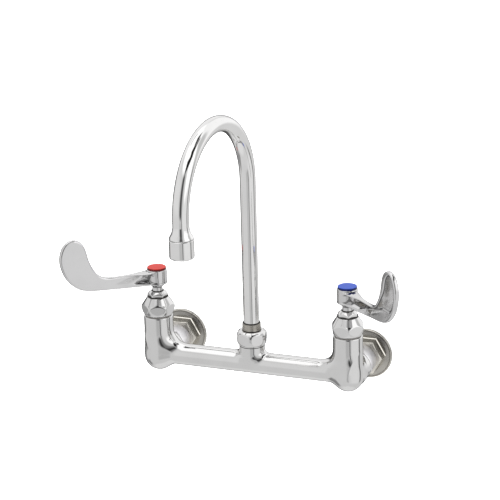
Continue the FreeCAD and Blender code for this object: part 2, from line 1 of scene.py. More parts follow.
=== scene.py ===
"""Looks of a wall-mounted mixing faucet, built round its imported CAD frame.

Sizes are millimetres in the CAD frame: the origin lies on the wall, midway between the inlets, X runs
from the hot side to the cold side, minus Y points to the user and Z is up. Meshes end in metres.
"""
from __future__ import annotations

import sys

import logging
import math
from dataclasses import dataclass, field, replace
from enum import Enum
from typing import Any, Callable, Sequence

import bmesh
import bpy
import numpy as np
from mathutils import Matrix, Vector

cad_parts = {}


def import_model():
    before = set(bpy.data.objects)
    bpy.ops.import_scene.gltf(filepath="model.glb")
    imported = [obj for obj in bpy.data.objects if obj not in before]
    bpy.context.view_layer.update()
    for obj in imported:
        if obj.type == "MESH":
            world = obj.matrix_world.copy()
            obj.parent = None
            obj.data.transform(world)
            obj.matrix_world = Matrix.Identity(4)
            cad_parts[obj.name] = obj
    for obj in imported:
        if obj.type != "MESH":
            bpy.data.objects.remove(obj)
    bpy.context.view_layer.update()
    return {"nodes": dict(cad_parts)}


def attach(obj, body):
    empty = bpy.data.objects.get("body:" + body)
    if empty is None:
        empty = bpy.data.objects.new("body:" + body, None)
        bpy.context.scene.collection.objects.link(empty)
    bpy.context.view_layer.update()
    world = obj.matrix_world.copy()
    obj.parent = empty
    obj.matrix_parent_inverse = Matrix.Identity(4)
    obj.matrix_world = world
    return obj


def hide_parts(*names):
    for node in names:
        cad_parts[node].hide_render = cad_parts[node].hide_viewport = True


log = logging.getLogger("faucet")

MM = 0.001
VALVE_SIDE = 101.6
WALL_GAP = 63.0
SPOUT_TURN = math.radians(-3.5)
SIXTH = math.pi / 3
SHARP_EDGE = math.radians(38.0)


class Body(str, Enum):
    """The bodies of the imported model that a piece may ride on."""

    FAUCET = "faucet_body"
    HOT_CONTROL = "hot_control"
    COLD_CONTROL = "cold_control"
    SPOUT = "spout"


class Side(Enum):
    """The two sides of the faucet: name, direction along X and the turn of the handle."""

    HOT = ("hot", -1, math.radians(-136.0))
    COLD = ("cold", 1, math.radians(-44.0))

    @property
    def label(self) -> str:
        """The word that starts the names of this side's nodes."""
        return self.value[0]

    @property
    def valve_x(self) -> float:
        """Where the valve's axis stands along X."""
        return self.value[1] * VALVE_SIDE

    @property
    def handle_turn(self) -> float:
        """The angle of the handle's arm about the valve's axis."""
        return self.value[2]

    @property
    def control(self) -> Body:
        """The body that turns with this side's handle."""
        return Body.HOT_CONTROL if self is Side.HOT else Body.COLD_CONTROL


# Shader and geometry nodes


class Recipe:
    """Adds nodes to one node tree by type, settings and inputs."""

    def __init__(self, tree: bpy.types.NodeTree) -> None:
        """Keeps the tree that the nodes go into."""
        self.tree = tree

    def node(self, kind: str, settings: dict[str, Any] | None = None,
             inputs: dict[str | int, Any] | None = None) -> bpy.types.Node:
        """Adds one node.

        Args:
            kind: The node's type, such as ShaderNodeTexNoise.
            settings: Values of the node's own properties. The key stops gives a ramp's places and colours.
            inputs: A value, a Signal or a socket for each input, by name or number.

        Returns:
            The new node.
        """
        made = self.tree.nodes.new(kind)
        for name, value in (settings or {}).items():
            if name == "stops":
                ramp = made.color_ramp
                while len(ramp.elements) < len(value):
                    ramp.elements.new(0.5)
                for element, (place, colour) in zip(ramp.elements, value):
                    element.position = place
                    element.color = (*colour, 1.0)
            else:
                setattr(made, name, value)
        for name, value in (inputs or {}).items():
            self.feed(made.inputs[name], value)
        return made

    def feed(self, socket: bpy.types.NodeSocket, value: Any) -> None:
        """Links a signal or a socket to an input, or sets its plain value.

        Args:
            socket: The input to feed.
            value: A Signal, a socket or a plain value.
        """
        if isinstance(value, Signal):
            value = value.socket
        if isinstance(value, bpy.types.NodeSocket):
            self.tree.links.new(value, socket)
        else:
            socket.default_value = value

    def signal(self, kind: str, output: str | int, settings: dict[str, Any] | None = None,
               inputs: dict[str | int, Any] | None = None) -> "Signal":
        """Adds one node and wraps one of its outputs."""
        return Signal(self, self.node(kind, settings, inputs).outputs[output])

    def parts(self, vector: bpy.types.NodeSocket) -> tuple["Signal", ...]:
        """The three numbers of a vector."""
        axes = self.node("ShaderNodeSeparateXYZ", {}, {0: vector})
        return tuple(Signal(self, output) for output in axes.outputs)

    def mix(self, share: Any, first: Any, second: Any) -> bpy.types.NodeSocket:
        """Mixes two colours by a share and returns the colour's socket."""
        made = self.node("ShaderNodeMix", {"data_type": "RGBA"}, {0: share, 6: first, 7: second})
        return made.outputs[2]


class Signal:
    """A number from a socket, whose arithmetic adds Math nodes."""

    def __init__(self, recipe: Recipe, socket: bpy.types.NodeSocket) -> None:
        """Keeps the socket and the recipe that its nodes go into."""
        self.recipe = recipe
        self.socket = socket

    def _math(self, operation: str, first: Any, second: Any = None) -> "Signal":
        """Adds one Math node on one or two values."""
        inputs = {0: first} if second is None else {0: first, 1: second}
        return self.recipe.signal("ShaderNodeMath", 0, {"operation": operation}, inputs)

    def __add__(self, other: Any) -> "Signal":
        """The sum."""
        return self._math("ADD", self, other)

    __radd__ = __add__

    def __sub__(self, other: Any) -> "Signal":
        """The difference."""
        return self._math("SUBTRACT", self, other)

    def __rsub__(self, other: Any) -> "Signal":
        """The difference from a plain number."""
        return self._math("SUBTRACT", other, self)

    def __mul__(self, other: Any) -> "Signal":
        """The product."""
        return self._math("MULTIPLY", self, other)

    __rmul__ = __mul__

    def __truediv__(self, other: Any) -> "Signal":
        """The quotient."""
        return self._math("DIVIDE", self, other)

    def __abs__(self) -> "Signal":
        """The value without its sign."""
        return self._math("ABSOLUTE", self)

    def sine(self) -> "Signal":
        """The sine of an angle in radians."""
        return self._math("SINE", self)

    def cosine(self) -> "Signal":
        """The cosine of an angle in radians."""
        return self._math("COSINE", self)

    def root(self) -> "Signal":
        """The square root."""
        return self._math("SQRT", self)

    def at_least(self, other: Any) -> "Signal":
        """The larger of two values."""
        return self._math("MAXIMUM", self, other)

    def at_most(self, other: Any) -> "Signal":
        """The smaller of two values."""
        return self._math("MINIMUM", self, other)

    def step(self, low: float, high: float) -> "Signal":
        """A smooth step from 0 at low to 1 at high."""
        return self.recipe.signal("ShaderNodeMapRange", 0, {"interpolation_type": "SMOOTHSTEP"},
                                  {"Value": self, "From Min": low, "From Max": high})

    def within(self, low: float, high: float, soft: float) -> "Signal":
        """1 between two values and 0 outside, over a soft edge."""
        return self.step(low - soft, low + soft) * (1 - self.step(high - soft, high + soft))


class Shape(Recipe):
    """A geometry node tree with named inputs, turned into a plain mesh."""

    def __init__(self, name: str, material: bpy.types.Material) -> None:
        """Starts a tree whose result gets one material.

        Args:
            name: The tree's name.
            material: The material of its result.
        """
        tree = bpy.data.node_groups.new(name, "GeometryNodeTree")
        super().__init__(tree)
        self.name = name
        self.material = material
        self.values: dict[str, Any] = {}
        tree.interface.new_socket("Geometry", in_out="OUTPUT", socket_type="NodeSocketGeometry")
        self.entry = tree.nodes.new("NodeGroupInput")

    def size(self, name: str, value: float | int) -> Signal:
        """Adds a named input of the tree and returns it as a signal.

        Args:
            name: The input's name.
            value: Its value.

        Returns:
            The input as a signal.
        """
        kind = "NodeSocketInt" if isinstance(value, int) else "NodeSocketFloat"
        socket = self.tree.interface.new_socket(name, in_out="INPUT", socket_type=kind)
        self.values[socket.identifier] = value
        return Signal(self, self.entry.outputs[name])

    def vector(self, x: Any, y: Any, z: Any) -> bpy.types.NodeSocket:
        """Joins three numbers into a vector."""
        return self.node("ShaderNodeCombineXYZ", {}, {0: x, 1: y, 2: z}).outputs[0]

    def swept(self, path: bpy.types.NodeSocket, radius: Signal, corners: int | Signal,
              capped: bool = True) -> bpy.types.NodeSocket:
        """Sweeps a circle along a curve.

        Args:
            path: The curve to follow.
            radius: The circle's radius.
            corners: How many corners the circle has.
            capped: Whether the ends are closed.

        Returns:
            The socket of the swept mesh.
        """
        section = self.node("GeometryNodeCurvePrimitiveCircle", {}, {"Resolution": corners, "Radius": radius})
        made = self.node("GeometryNodeCurveToMesh", {}, {
            "Curve": path, "Profile Curve": section.outputs[0], "Fill Caps": capped})
        return made.outputs[0]

    def finish(self, geometry: bpy.types.NodeSocket, smooth: bool = True) -> bpy.types.Object:
        """Ends the tree and returns its result as an object with a plain mesh.

        Args:
            geometry: The socket of the finished geometry.
            smooth: Whether the faces are shaded smooth.

        Returns:
            The new object, at the origin.
        """
        real = self.node("GeometryNodeRealizeInstances", {}, {"Geometry": geometry})
        shade = self.node("GeometryNodeSetShadeSmooth", {}, {0: real.outputs[0], "Shade Smooth": smooth})
        dressed = self.node("GeometryNodeSetMaterial", {}, {"Geometry": shade.outputs[0],
                                                            "Material": self.material})
        way_out = self.node("NodeGroupOutput")
        self.tree.links.new(dressed.outputs[0], way_out.inputs[0])
        carrier = bpy.data.objects.new(self.name, bpy.data.meshes.new(self.name + "_seed"))
        bpy.context.scene.collection.objects.link(carrier)
        modifier = carrier.modifiers.new("shape", "NODES")
        modifier.node_group = self.tree
        for identifier, value in self.values.items():
            modifier[identifier] = value
        evaluated = carrier.evaluated_get(bpy.context.evaluated_depsgraph_get())
        mesh = bpy.data.meshes.new_from_object(evaluated)
        carrier.modifiers.clear()
        carrier.data = mesh
        return carrier


# Finishes


@dataclass(frozen=True)
class Finish:
    """A surface finish: the base of every material here."""

    name: str
    colour: tuple[float, float, float]
    metallic: float = 1.0
    roughness: float = 0.1
    smudge: float = 0.03
    smudge_scale: float = 40.0
    bump: float = 0.1
    bump_scale: float = 300.0
    bump_depth: float = 0.0001
    shade: float = 0.04
    cloud_edges: tuple[float, float] = (0.3, 0.7)

    def material(self) -> bpy.types.Material:
        """The material of this finish, made once.

        Returns:
            The one material that all pieces of this finish share.
        """
        title = self.name + "_finish"
        known = bpy.data.materials.get(title)
        if known is not None:
            return known
        made = bpy.data.materials.new(title)
        made.use_nodes = True
        made.diffuse_color = (*self.colour, 1.0)
        made.node_tree.nodes.clear()
        recipe = Recipe(made.node_tree)
        shader = recipe.node("ShaderNodeBsdfPrincipled", {}, {"Metallic": self.metallic})
        place = recipe.node("ShaderNodeTexCoord").outputs["Object"]
        self.dress(recipe, shader, place)
        recipe.node("ShaderNodeOutputMaterial", {}, {"Surface": shader.outputs[0]})
        return made

    def noise(self, recipe: Recipe, place: bpy.types.NodeSocket, scale: float, detail: float = 3.0) -> Signal:
        """Noise between 0 and 1 on the object's own coordinates."""
        return recipe.signal("ShaderNodeTexNoise", 0, {}, {"Vector": place, "Scale": scale, "Detail": detail})

    def tinted(self, share: float) -> tuple[float, float, float, float]:
        """The finish's colour times a share, no part over 1, as a socket takes it."""
        return (*(min(1.0, part * share) for part in self.colour), 1.0)

    def dress(self, recipe: Recipe, shader: bpy.types.Node, place: bpy.types.NodeSocket) -> None:
        """Sets the shader's colour, roughness and bump from noise at two scales.

        Args:
            recipe: The recipe that the nodes go into.
            shader: The main shader node.
            place: The point on the piece in millimetres.
        """
        cloud = self.noise(recipe, place, self.smudge_scale)
        darker, lighter = self.tinted(1 - self.shade), self.tinted(1 + self.shade)
        tint = recipe.mix(cloud.step(*self.cloud_edges), darker, lighter)
        recipe.feed(shader.inputs["Base Color"], tint)
        recipe.feed(shader.inputs["Roughness"], self.roughness + self.smudge * (cloud - 0.5))
        self.emboss(recipe, shader, self.noise(recipe, place, self.bump_scale, 2.0))

    def emboss(self, recipe: Recipe, shader: bpy.types.Node, height: Signal) -> None:
        """Feeds a height to the shader's normal through a Bump node.

        Args:
            recipe: The recipe that the nodes go into.
            shader: The main shader node.
            height: The height of the relief.
        """
        bump = recipe.node("ShaderNodeBump", {}, {"Strength": self.bump, "Distance": self.bump_depth,
                                                  "Height": height})
        recipe.feed(shader.inputs["Normal"], bump.outputs[0])


@dataclass(frozen=True)
class Polished(Finish):
    """Plated metal: long soft waves left by the wheel, fine peel, specks, and painted shade in its inner
    corners.
    """

    wave: float = 0.5
    wave_scale: float = 38.0
    cloud_edges: tuple[float, float] = (0.35, 0.7)
    haze_edges: tuple[float, float] = (0.3, 0.75)
    speck_scale: float = 1400.0
    speck_edges: tuple[float, float] = (0.62, 0.72)
    speck_share: float = 0.2
    # Painted shade: inner corners are darkened towards this share of the colour, by how hollow they are.
    hollow_shade: float = 0.12
    hollow_shade_cover: float = 0.85
    hollow_shade_edges: tuple[float, float] = (0.02, 0.40)

    def dress(self, recipe: Recipe, shader: bpy.types.Node, place: bpy.types.NodeSocket) -> None:
        """Sets colour and roughness from smudges, paints shade into hollows, and makes a bump of waves and
        peel.

        Args:
            recipe: The recipe that the nodes go into.
            shader: The main shader node.
            place: The point on the piece in millimetres.
        """
        cloud = self.noise(recipe, place, self.smudge_scale, 5.0)
        specks = self.noise(recipe, place, self.speck_scale, 1.0).step(*self.speck_edges)
        share = cloud.step(*self.cloud_edges) * (1 - self.speck_share) + specks * self.speck_share
        tint = recipe.mix(share, self.tinted(1.0), self.tinted(1 - self.shade))
        # Painted shade: the colour darkens where the hollow attribute marks an inner corner.
        hollow = recipe.signal("ShaderNodeAttribute", "Fac", {"attribute_name": "hollow"})
        cover = hollow.step(*self.hollow_shade_edges) * self.hollow_shade_cover
        recipe.feed(shader.inputs["Base Color"], recipe.mix(cover, tint, self.tinted(self.hollow_shade)))
        rough = self.roughness + self.smudge * cloud.step(*self.haze_edges) + specks * (self.smudge * 0.5)
        recipe.feed(shader.inputs["Roughness"], rough)
        waves = self.noise(recipe, place, self.wave_scale, 1.0)
        peel = self.noise(recipe, place, self.bump_scale, 2.0)
        self.emboss(recipe, shader, waves * self.wave + peel * (1 - self.wave))


class Lay(Enum):
    """The axis that a lathe's tool marks circle."""

    WALL = "wall"
    UPRIGHT = "upright"


@dataclass(frozen=True)
class Turned(Finish):
    """Metal left as the lathe made it, with rings and stains, and on a wall flange painted shade: darker
    towards the top and in a groove.
    """

    lay: Lay = Lay.WALL
    ring_pitch: float = 0.55
    ring_wander: float = 0.3
    ring_share: float = 0.1
    ring_rough: float = 0.05
    ring_relief: float = 0.6
    # The dark colour of stains and rings, and on a wall flange also of painted shade.
    stain_and_shade: tuple[float, float, float] = (0.35, 0.32, 0.26)
    cloud_edges: tuple[float, float] = (0.42, 0.68)
    stain_and_shade_cover: float = 0.85
    cloud_cover: float = 0.3
    # Painted shade on a wall flange: it darkens from its bottom towards its top, between these heights over
    # radius.
    top_shade_edges: tuple[float, float] = (-0.75, 0.55)
    # Painted shade in the wall flange's groove, between these radii and with this soft edge.
    groove: tuple[float, float, float] = (24.3, 24.7, 0.25)
    coarse_scale: float = 160.0
    coarse_rough: float = 0.06

    def dress(self, recipe: Recipe, shader: bpy.types.Node, place: bpy.types.NodeSocket) -> None:
        """Sets colour, roughness and bump from rings round the axis and stains, and paints shade on a wall
        flange.

        Args:
            recipe: The recipe that the nodes go into.
            shader: The main shader node.
            place: The point on the piece in millimetres.
        """
        x, y, z = recipe.parts(place)
        across = abs(x) - VALVE_SIDE * MM
        radius = (across * across + z * z).root()
        along = radius + y if self.lay is Lay.WALL else z
        cloud = self.noise(recipe, place, self.smudge_scale, 4.0)
        travel = along + cloud * (self.ring_wander * MM)
        rings = (travel * (2 * math.pi / (self.ring_pitch * MM))).sine() * 0.5 + 0.5
        coarse = self.noise(recipe, place, self.coarse_scale, 4.0)
        patch = cloud.step(*self.cloud_edges)
        stained_and_shaded = patch * self.stain_and_shade_cover
        # On a wall flange the colour also takes painted shade: darker towards the top and in the groove.
        if self.lay is Lay.WALL:
            height = z / radius.at_least(MM)
            groove = radius.within(*(edge * MM for edge in self.groove))
            foot = height.step(*self.top_shade_edges) * self.stain_and_shade_cover
            stained_and_shaded = (foot + patch * self.cloud_cover + groove).at_most(1.0)
        base = recipe.mix((stained_and_shaded + rings * self.ring_share).at_most(1.0), self.tinted(1.0), (*self.stain_and_shade, 1.0))
        recipe.feed(shader.inputs["Base Color"], base)
        rough = self.roughness + self.smudge * patch + self.ring_rough * rings + self.coarse_rough * coarse
        recipe.feed(shader.inputs["Roughness"], rough)
        self.emboss(recipe, shader, rings * self.ring_relief + coarse * (1 - self.ring_relief))


@dataclass(frozen=True)
class Enamelled(Finish):
    """A coloured index button: bright top, a side painted darker as shade, and a fine moulded grain."""

    # Painted shade: the colour of the button's side, much darker than its lit top.
    shaded_side_colour: tuple[float, float, float] = (0.1, 0.1, 0.1)
    side_heights: tuple[float, float] = (92.1, 92.4)
    shine: float = 0.2
    grain_scale: float = 220.0
    grain_shade: float = 0.9

    def dress(self, recipe: Recipe, shader: bpy.types.Node, place: bpy.types.NodeSocket) -> None:
        """Paints shade on the side of the button, darker below its top edge.

        Args:
            recipe: The recipe that the nodes go into.
            shader: The main shader node.
            place: The point on the piece in millimetres.
        """
        super().dress(recipe, shader, place)
        shader.inputs["Specular IOR Level"].default_value = self.shine
        height = recipe.parts(place)[2]
        cloud = self.noise(recipe, place, self.grain_scale)
        top = height.step(*(edge * MM for edge in self.side_heights))
        face = recipe.mix(cloud.step(*self.cloud_edges), self.tinted(1.0), self.tinted(self.grain_shade))
        # Painted shade: below the top edge the side takes the shaded colour.
        recipe.feed(shader.inputs["Base Color"], recipe.mix(top, (*self.shaded_side_colour, 1.0), face))


CHROME = Polished("chrome", (0.68, 0.677, 0.674), roughness=0.045, smudge=0.03, smudge_scale=55.0, bump=0.05,
                  bump_scale=420.0, bump_depth=0.0002, wave=0.6, wave_scale=60.0)
TUBE_CHROME = Polished("tube_chrome", (0.76, 0.757, 0.753), roughness=0.03, smudge=0.03, smudge_scale=50.0,
                       bump=0.05, bump_scale=420.0, bump_depth=0.0002, wave=0.7, wave_scale=48.0)
CAST_CHROME = Polished("cast_chrome", (0.68, 0.677, 0.674), roughness=0.05, smudge=0.04, smudge_scale=45.0,
                       bump=0.12, bump_scale=380.0, bump_depth=0.0003, wave=0.75, wave_scale=42.0)
BLADE_CHROME = Polished("blade_chrome", (0.64, 0.637, 0.64), roughness=0.05, smudge=0.04, smudge_scale=35.0,
                        bump=0.08, bump_scale=520.0, bump_depth=0.0002, wave=0.5, wave_scale=30.0)
# Painted light: the locknut's chrome is brighter than the plated parts, standing in for the bright light it
# reflects.
LIT_SATIN_CHROME = Polished("satin_chrome", (0.88, 0.87, 0.89), roughness=0.30, smudge=0.06, smudge_scale=90.0,
                        bump=0.08, bump_scale=600.0, bump_depth=0.0001)
POLISHED_NICKEL = Polished("polished_nickel", (0.74, 0.715, 0.655), roughness=0.08, smudge=0.05,
                           smudge_scale=90.0, bump=0.08, bump_scale=500.0, bump_depth=0.0001, shade=0.15)
ROUGH_NICKEL = Turned("rough_nickel", (0.52, 0.50, 0.46), roughness=0.13, smudge=0.08, smudge_scale=60.0,
                      bump=0.2, bump_depth=0.00008, stain_and_shade=(0.33, 0.32, 0.30))
FLAT_NICKEL = Turned("flat_nickel", (0.82, 0.79, 0.72), roughness=0.16, smudge=0.08, smudge_scale=60.0,
                     bump=0.2, bump_depth=0.00008, stain_and_shade=(0.62, 0.60, 0.55))
WARM_NICKEL = Turned("warm_nickel", (0.43, 0.41, 0.375), roughness=0.14, smudge=0.08, smudge_scale=120.0,
                     bump=0.3, bump_depth=0.00006, lay=Lay.UPRIGHT, ring_pitch=0.4, stain_and_shade=(0.22, 0.205, 0.18))
BRASS = Turned("brass", (0.72, 0.52, 0.24), roughness=0.24, smudge=0.1, smudge_scale=90.0, bump=0.3,
               bump_depth=0.00008, lay=Lay.UPRIGHT, ring_pitch=0.5, stain_and_shade=(0.5, 0.33, 0.15))
STEEL = Turned("steel", (0.56, 0.56, 0.57), roughness=0.28, smudge=0.1, smudge_scale=120.0, bump=0.25,
               bump_depth=0.00006, lay=Lay.UPRIGHT, ring_pitch=0.35, stain_and_shade=(0.42, 0.41, 0.4))
RUBBER = Finish("rubber", (0.02, 0.02, 0.022), metallic=0.0, roughness=0.6, smudge=0.2, smudge_scale=300.0,
                bump=0.3, bump_scale=1500.0)
FIBRE = Finish("fibre", (0.20, 0.19, 0.18), metallic=0.0, roughness=0.85, smudge=0.15, smudge_scale=500.0,
               bump=0.5, bump_scale=1200.0, shade=0.15)
# Painted shade: a near-black finish for thin rings put into narrow gaps, where shade falls.
GAP_SHADE = Finish("tarnish", (0.012, 0.011, 0.010), metallic=0.0, roughness=0.7, smudge=0.2,
                 smudge_scale=700.0, bump=0.4, bump_scale=1500.0, shade=0.3)
PACKING = Finish("packing", (0.72, 0.7, 0.64), metallic=0.0, roughness=0.7, smudge=0.2, smudge_scale=600.0,
                 bump=0.5, bump_scale=1600.0, shade=0.1)
ACETAL = Finish("acetal", (0.78, 0.78, 0.76), metallic=0.0, roughness=0.38, smudge=0.1, smudge_scale=200.0,
                bump=0.15, bump_scale=900.0, bump_depth=0.00005)
INDEX_RED = Enamelled("index_red", (0.44, 0.018, 0.010), metallic=0.0, roughness=0.3, smudge=0.1,
                      smudge_scale=120.0, bump=0.1, bump_scale=900.0, bump_depth=0.00005,
                      shaded_side_colour=(0.08, 0.003, 0.003))
INDEX_BLUE = replace(INDEX_RED, name="index_blue", colour=(0.018, 0.06, 0.36),
                     shaded_side_colour=(0.003, 0.008, 0.07))


# Meshes


def add_piece(name: str, corners: np.ndarray, faces: Sequence[Sequence[int]], finish: Finish,
              normals: np.ndarray | None = None) -> bpy.types.Object:
    """Makes an object from corners in millimetres.

    Args:
        name: The piece's name.
        corners: One row of x, y and z for each corner.
        faces: The corners of each face, by number.
        finish: The finish it wears.
        normals: A direction for each corner, zero where the faces decide.

    Returns:
        The new object, at the origin, in metres.
    """
    mesh = bpy.data.meshes.new(name)
    mesh.from_pydata((corners * MM).tolist(), [], [list(face) for face in faces])
    mesh.validate()
    mesh.shade_smooth()
    mesh.set_sharp_from_angle(angle=SHARP_EDGE)
    if normals is not None:
        loops = np.zeros(len(mesh.loops), dtype=np.int32)
        mesh.loops.foreach_get("vertex_index", loops)
        mesh.normals_split_custom_set(normals[loops].tolist())
    mesh.materials.append(finish.material())
    piece = bpy.data.objects.new(name, mesh)
    bpy.context.scene.collection.objects.link(piece)
    return piece


def form_of(corners: np.ndarray, faces: Sequence[Sequence[int]]) -> bmesh.types.BMesh:
    """An open mesh with the given corners and faces.

    Args:
        corners: One row of x, y and z for each corner.
        faces: The corners of each face, by number.

    Returns:
        The mesh, to be freed later.
    """
    form = bmesh.new()
    made = [form.verts.new(corner) for corner in corners]
    for face in faces:
        form.faces.new([made[index] for index in face])
    return form


def plain_form(form: bmesh.types.BMesh) -> tuple[np.ndarray, list[list[int]]]:
    """Turns a mesh's faces outward, frees it and returns its corners and faces.

    Args:
        form: The mesh, which is freed.

    Returns:
        The corners and the faces.
    """
    bmesh.ops.recalc_face_normals(form, faces=form.faces)
    form.verts.index_update()
    corners = np.array([vert.co for vert in form.verts])
    faces = [[vert.index for vert in face.verts] for face in form.faces]
    form.free()
    return corners, faces


@dataclass(frozen=True)
class Axis:
    """The line that a turned piece is built on, and which way its heights run."""

    x: float
    y: float
    towards_wall: bool = False
    turn: float = 0.0

    def place(self, radius: np.ndarray, angle: np.ndarray, height: np.ndarray) -> np.ndarray:
        """Corners for radii, angles and heights measured on this axis.

        Args:
            radius: Distances from the axis.
            angle: Angles round it.
            height: Heights along it.

        Returns:
            The corners in the frame.
        """
        u = radius * np.cos(angle + self.turn)
        v = radius * np.sin(angle + self.turn)
        if self.towards_wall:
            return np.stack([self.x + u, self.y + height, v], axis=-1)
        return np.stack([self.x + u, self.y + v, height], axis=-1)


def mark_hollows(piece: bpy.types.Object, hollows: np.ndarray) -> None:
    """Stores how hollow each corner of a piece is, which its material reads to paint shade into inner
    corners.
    """
    layer = piece.data.attributes.new("hollow", "FLOAT", "POINT")
    layer.data.foreach_set("value", hollows.astype(np.float32))


def softer(first: np.ndarray, second: np.ndarray, blend: np.ndarray | float) -> np.ndarray:
    """The smaller of two fields, rounded where they are nearly equal."""
    near = np.maximum(blend - np.abs(first - second), 0.0) / blend
    return np.minimum(first, second) - near * near * blend / 4


def harder(first: np.ndarray, second: np.ndarray, blend: float) -> np.ndarray:
    """The larger of two fields, rounded where they are nearly equal."""
    return -softer(-first, -second, blend)


def rounded(points: Sequence[tuple[float, float, float]], pitch: float = 1.0, cuts: int = 6) -> np.ndarray:
    """A profile with its corners rounded and its runs divided.

    Args:
        points: Radius, height and corner radius of each point, from the first to the last.
        pitch: The longest run between two rows.
        cuts: How many runs a rounded corner has.

    Returns:
        One row of radius and height for each ring.
    """
    rows: list[np.ndarray] = []
    spots = [np.array(point[:2], dtype=float) for point in points]
    for index, spot in enumerate(spots):
        bend = points[index][2]
        if bend <= 0 or index in (0, len(spots) - 1):
            rows.append(spot)
            continue
        before = spots[index - 1] - spot
        after = spots[index + 1] - spot
        first, second = before / np.linalg.norm(before), after / np.linalg.norm(after)
        half = math.acos(float(np.clip(first @ second, -1, 1))) / 2
        reach = min(bend / math.tan(half), np.linalg.norm(before) * 0.49, np.linalg.norm(after) * 0.49)
        start, end = spot + first * reach, spot + second * reach
        for share in np.linspace(0.0, 1.0, cuts + 1):
            rows.append((1 - share) ** 2 * start + 2 * share * (1 - share) * spot + share ** 2 * end)
    filled = [rows[0]]
    for row in rows[1:]:
        gap = np.linalg.norm(row - filled[-1])
        count = max(1, int(math.ceil(gap / pitch)))
        last = filled[-1]
        filled.extend(last + (row - last) * step / count for step in range(1, count + 1))
    return np.array(filled)


@dataclass(frozen=True)
class Hexagon:
    """Flats cut on a turned piece."""

    flats: float
    turn: float
    corner: float = 0.5
    blend: float = 0.5

    @property
    def inner(self) -> float:
        """How far the centre of a corner's arc lies from the axis."""
        return (self.flats / 2 - self.corner) * 2 / math.sqrt(3)

    @property
    def bend(self) -> float:
        """Half the angle that a corner's arc takes."""
        return SIXTH / 2 - math.atan(0.5 * self.inner / (self.flats / 2))

    def angles(self, count: int) -> np.ndarray:
        """Evenly spaced angles with a few more at each corner.

        Args:
            count: How many angles are evenly spaced.

        Returns:
            The angles in rising order.
        """
        bend = self.bend
        base = np.linspace(bend, SIXTH - bend, count)
        part = np.concatenate([np.array([-bend, -bend / 2, 0, bend / 2]), base[:-1]])
        return np.sort(np.concatenate([part + SIXTH * index for index in range(6)]))

    def radius(self, angles: np.ndarray) -> np.ndarray:
        """The hexagon's radius at each angle, its corners slightly rounded.

        Args:
            angles: The angles to measure at.

        Returns:
            One radius for each angle.
        """
        from_corner = np.abs((angles + SIXTH / 2) % SIXTH - SIXTH / 2)
        flat = self.flats / 2 / np.cos(SIXTH / 2 - from_corner)
        sweep = np.maximum(self.corner ** 2 - (self.inner * np.sin(from_corner)) ** 2, 0.0)
        arc = self.inner * np.cos(from_corner) + np.sqrt(sweep)
        return np.where(from_corner < self.bend, arc, flat)


@dataclass(frozen=True)
class Lathe:
    """A turned piece: rings on an axis, with flats where it has a hexagon."""

    axis: Axis
    segments: int = 128
    hexagon: Hexagon | None = None
    weld: float = 0.0005

    def turn(self, name: str, profile: np.ndarray, finish: Finish, closed: bool = False) -> bpy.types.Object:
        """Turns a profile into a piece.

        Args:
            name: The piece's name.
            profile: Radius and height of each ring.
            finish: The finish it wears.
            closed: Whether the profile goes round a ring and meets its own start.

        Returns:
            The new object.
        """
        if self.hexagon is None:
            angles = np.linspace(0, 2 * math.pi, self.segments, endpoint=False)
            radii = np.repeat(profile[:, :1], len(angles), axis=1)
        else:
            angles = self.hexagon.angles(max(4, self.segments // 6))
            radii = softer(profile[:, :1], self.hexagon.radius(angles)[None, :], self.hexagon.blend)
            angles = angles + self.hexagon.turn
        heights = np.repeat(profile[:, 1:], len(angles), axis=1)
        turns = np.repeat(angles[None, :], len(profile), axis=0)
        grid = self.axis.place(np.maximum(radii, 0.0), turns, heights)
        return add_piece(name, *self.stitch(grid, closed), finish=finish)

    def stitch(self, grid: np.ndarray, closed: bool) -> tuple[np.ndarray, list[list[int]]]:
        """Joins rings of corners with faces, and closes both ends with a pole.

        Args:
            grid: The corners of each ring.
            closed: Whether the last ring meets the first.

        Returns:
            The corners and the faces.
        """
        rows, columns = grid.shape[:2]
        corners = list(grid.reshape(-1, 3))
        faces = []
        for row in range(rows if closed else rows - 1):
            below, above = row * columns, (row + 1) % rows * columns
            for column in range(columns):
                after = (column + 1) % columns
                faces.append([below + column, below + after, above + after, above + column])
        if not closed:
            for row in (0, rows - 1):
                pole = len(corners)
                corners.append(grid[row].mean(axis=0))
                start = row * columns
                for column in range(columns):
                    ring = [start + column, start + (column + 1) % columns]
                    faces.append([pole, *(ring if row else reversed(ring))])
        form = form_of(corners, faces)
        bmesh.ops.remove_doubles(form, verts=form.verts, dist=self.weld)
        return plain_form(form)


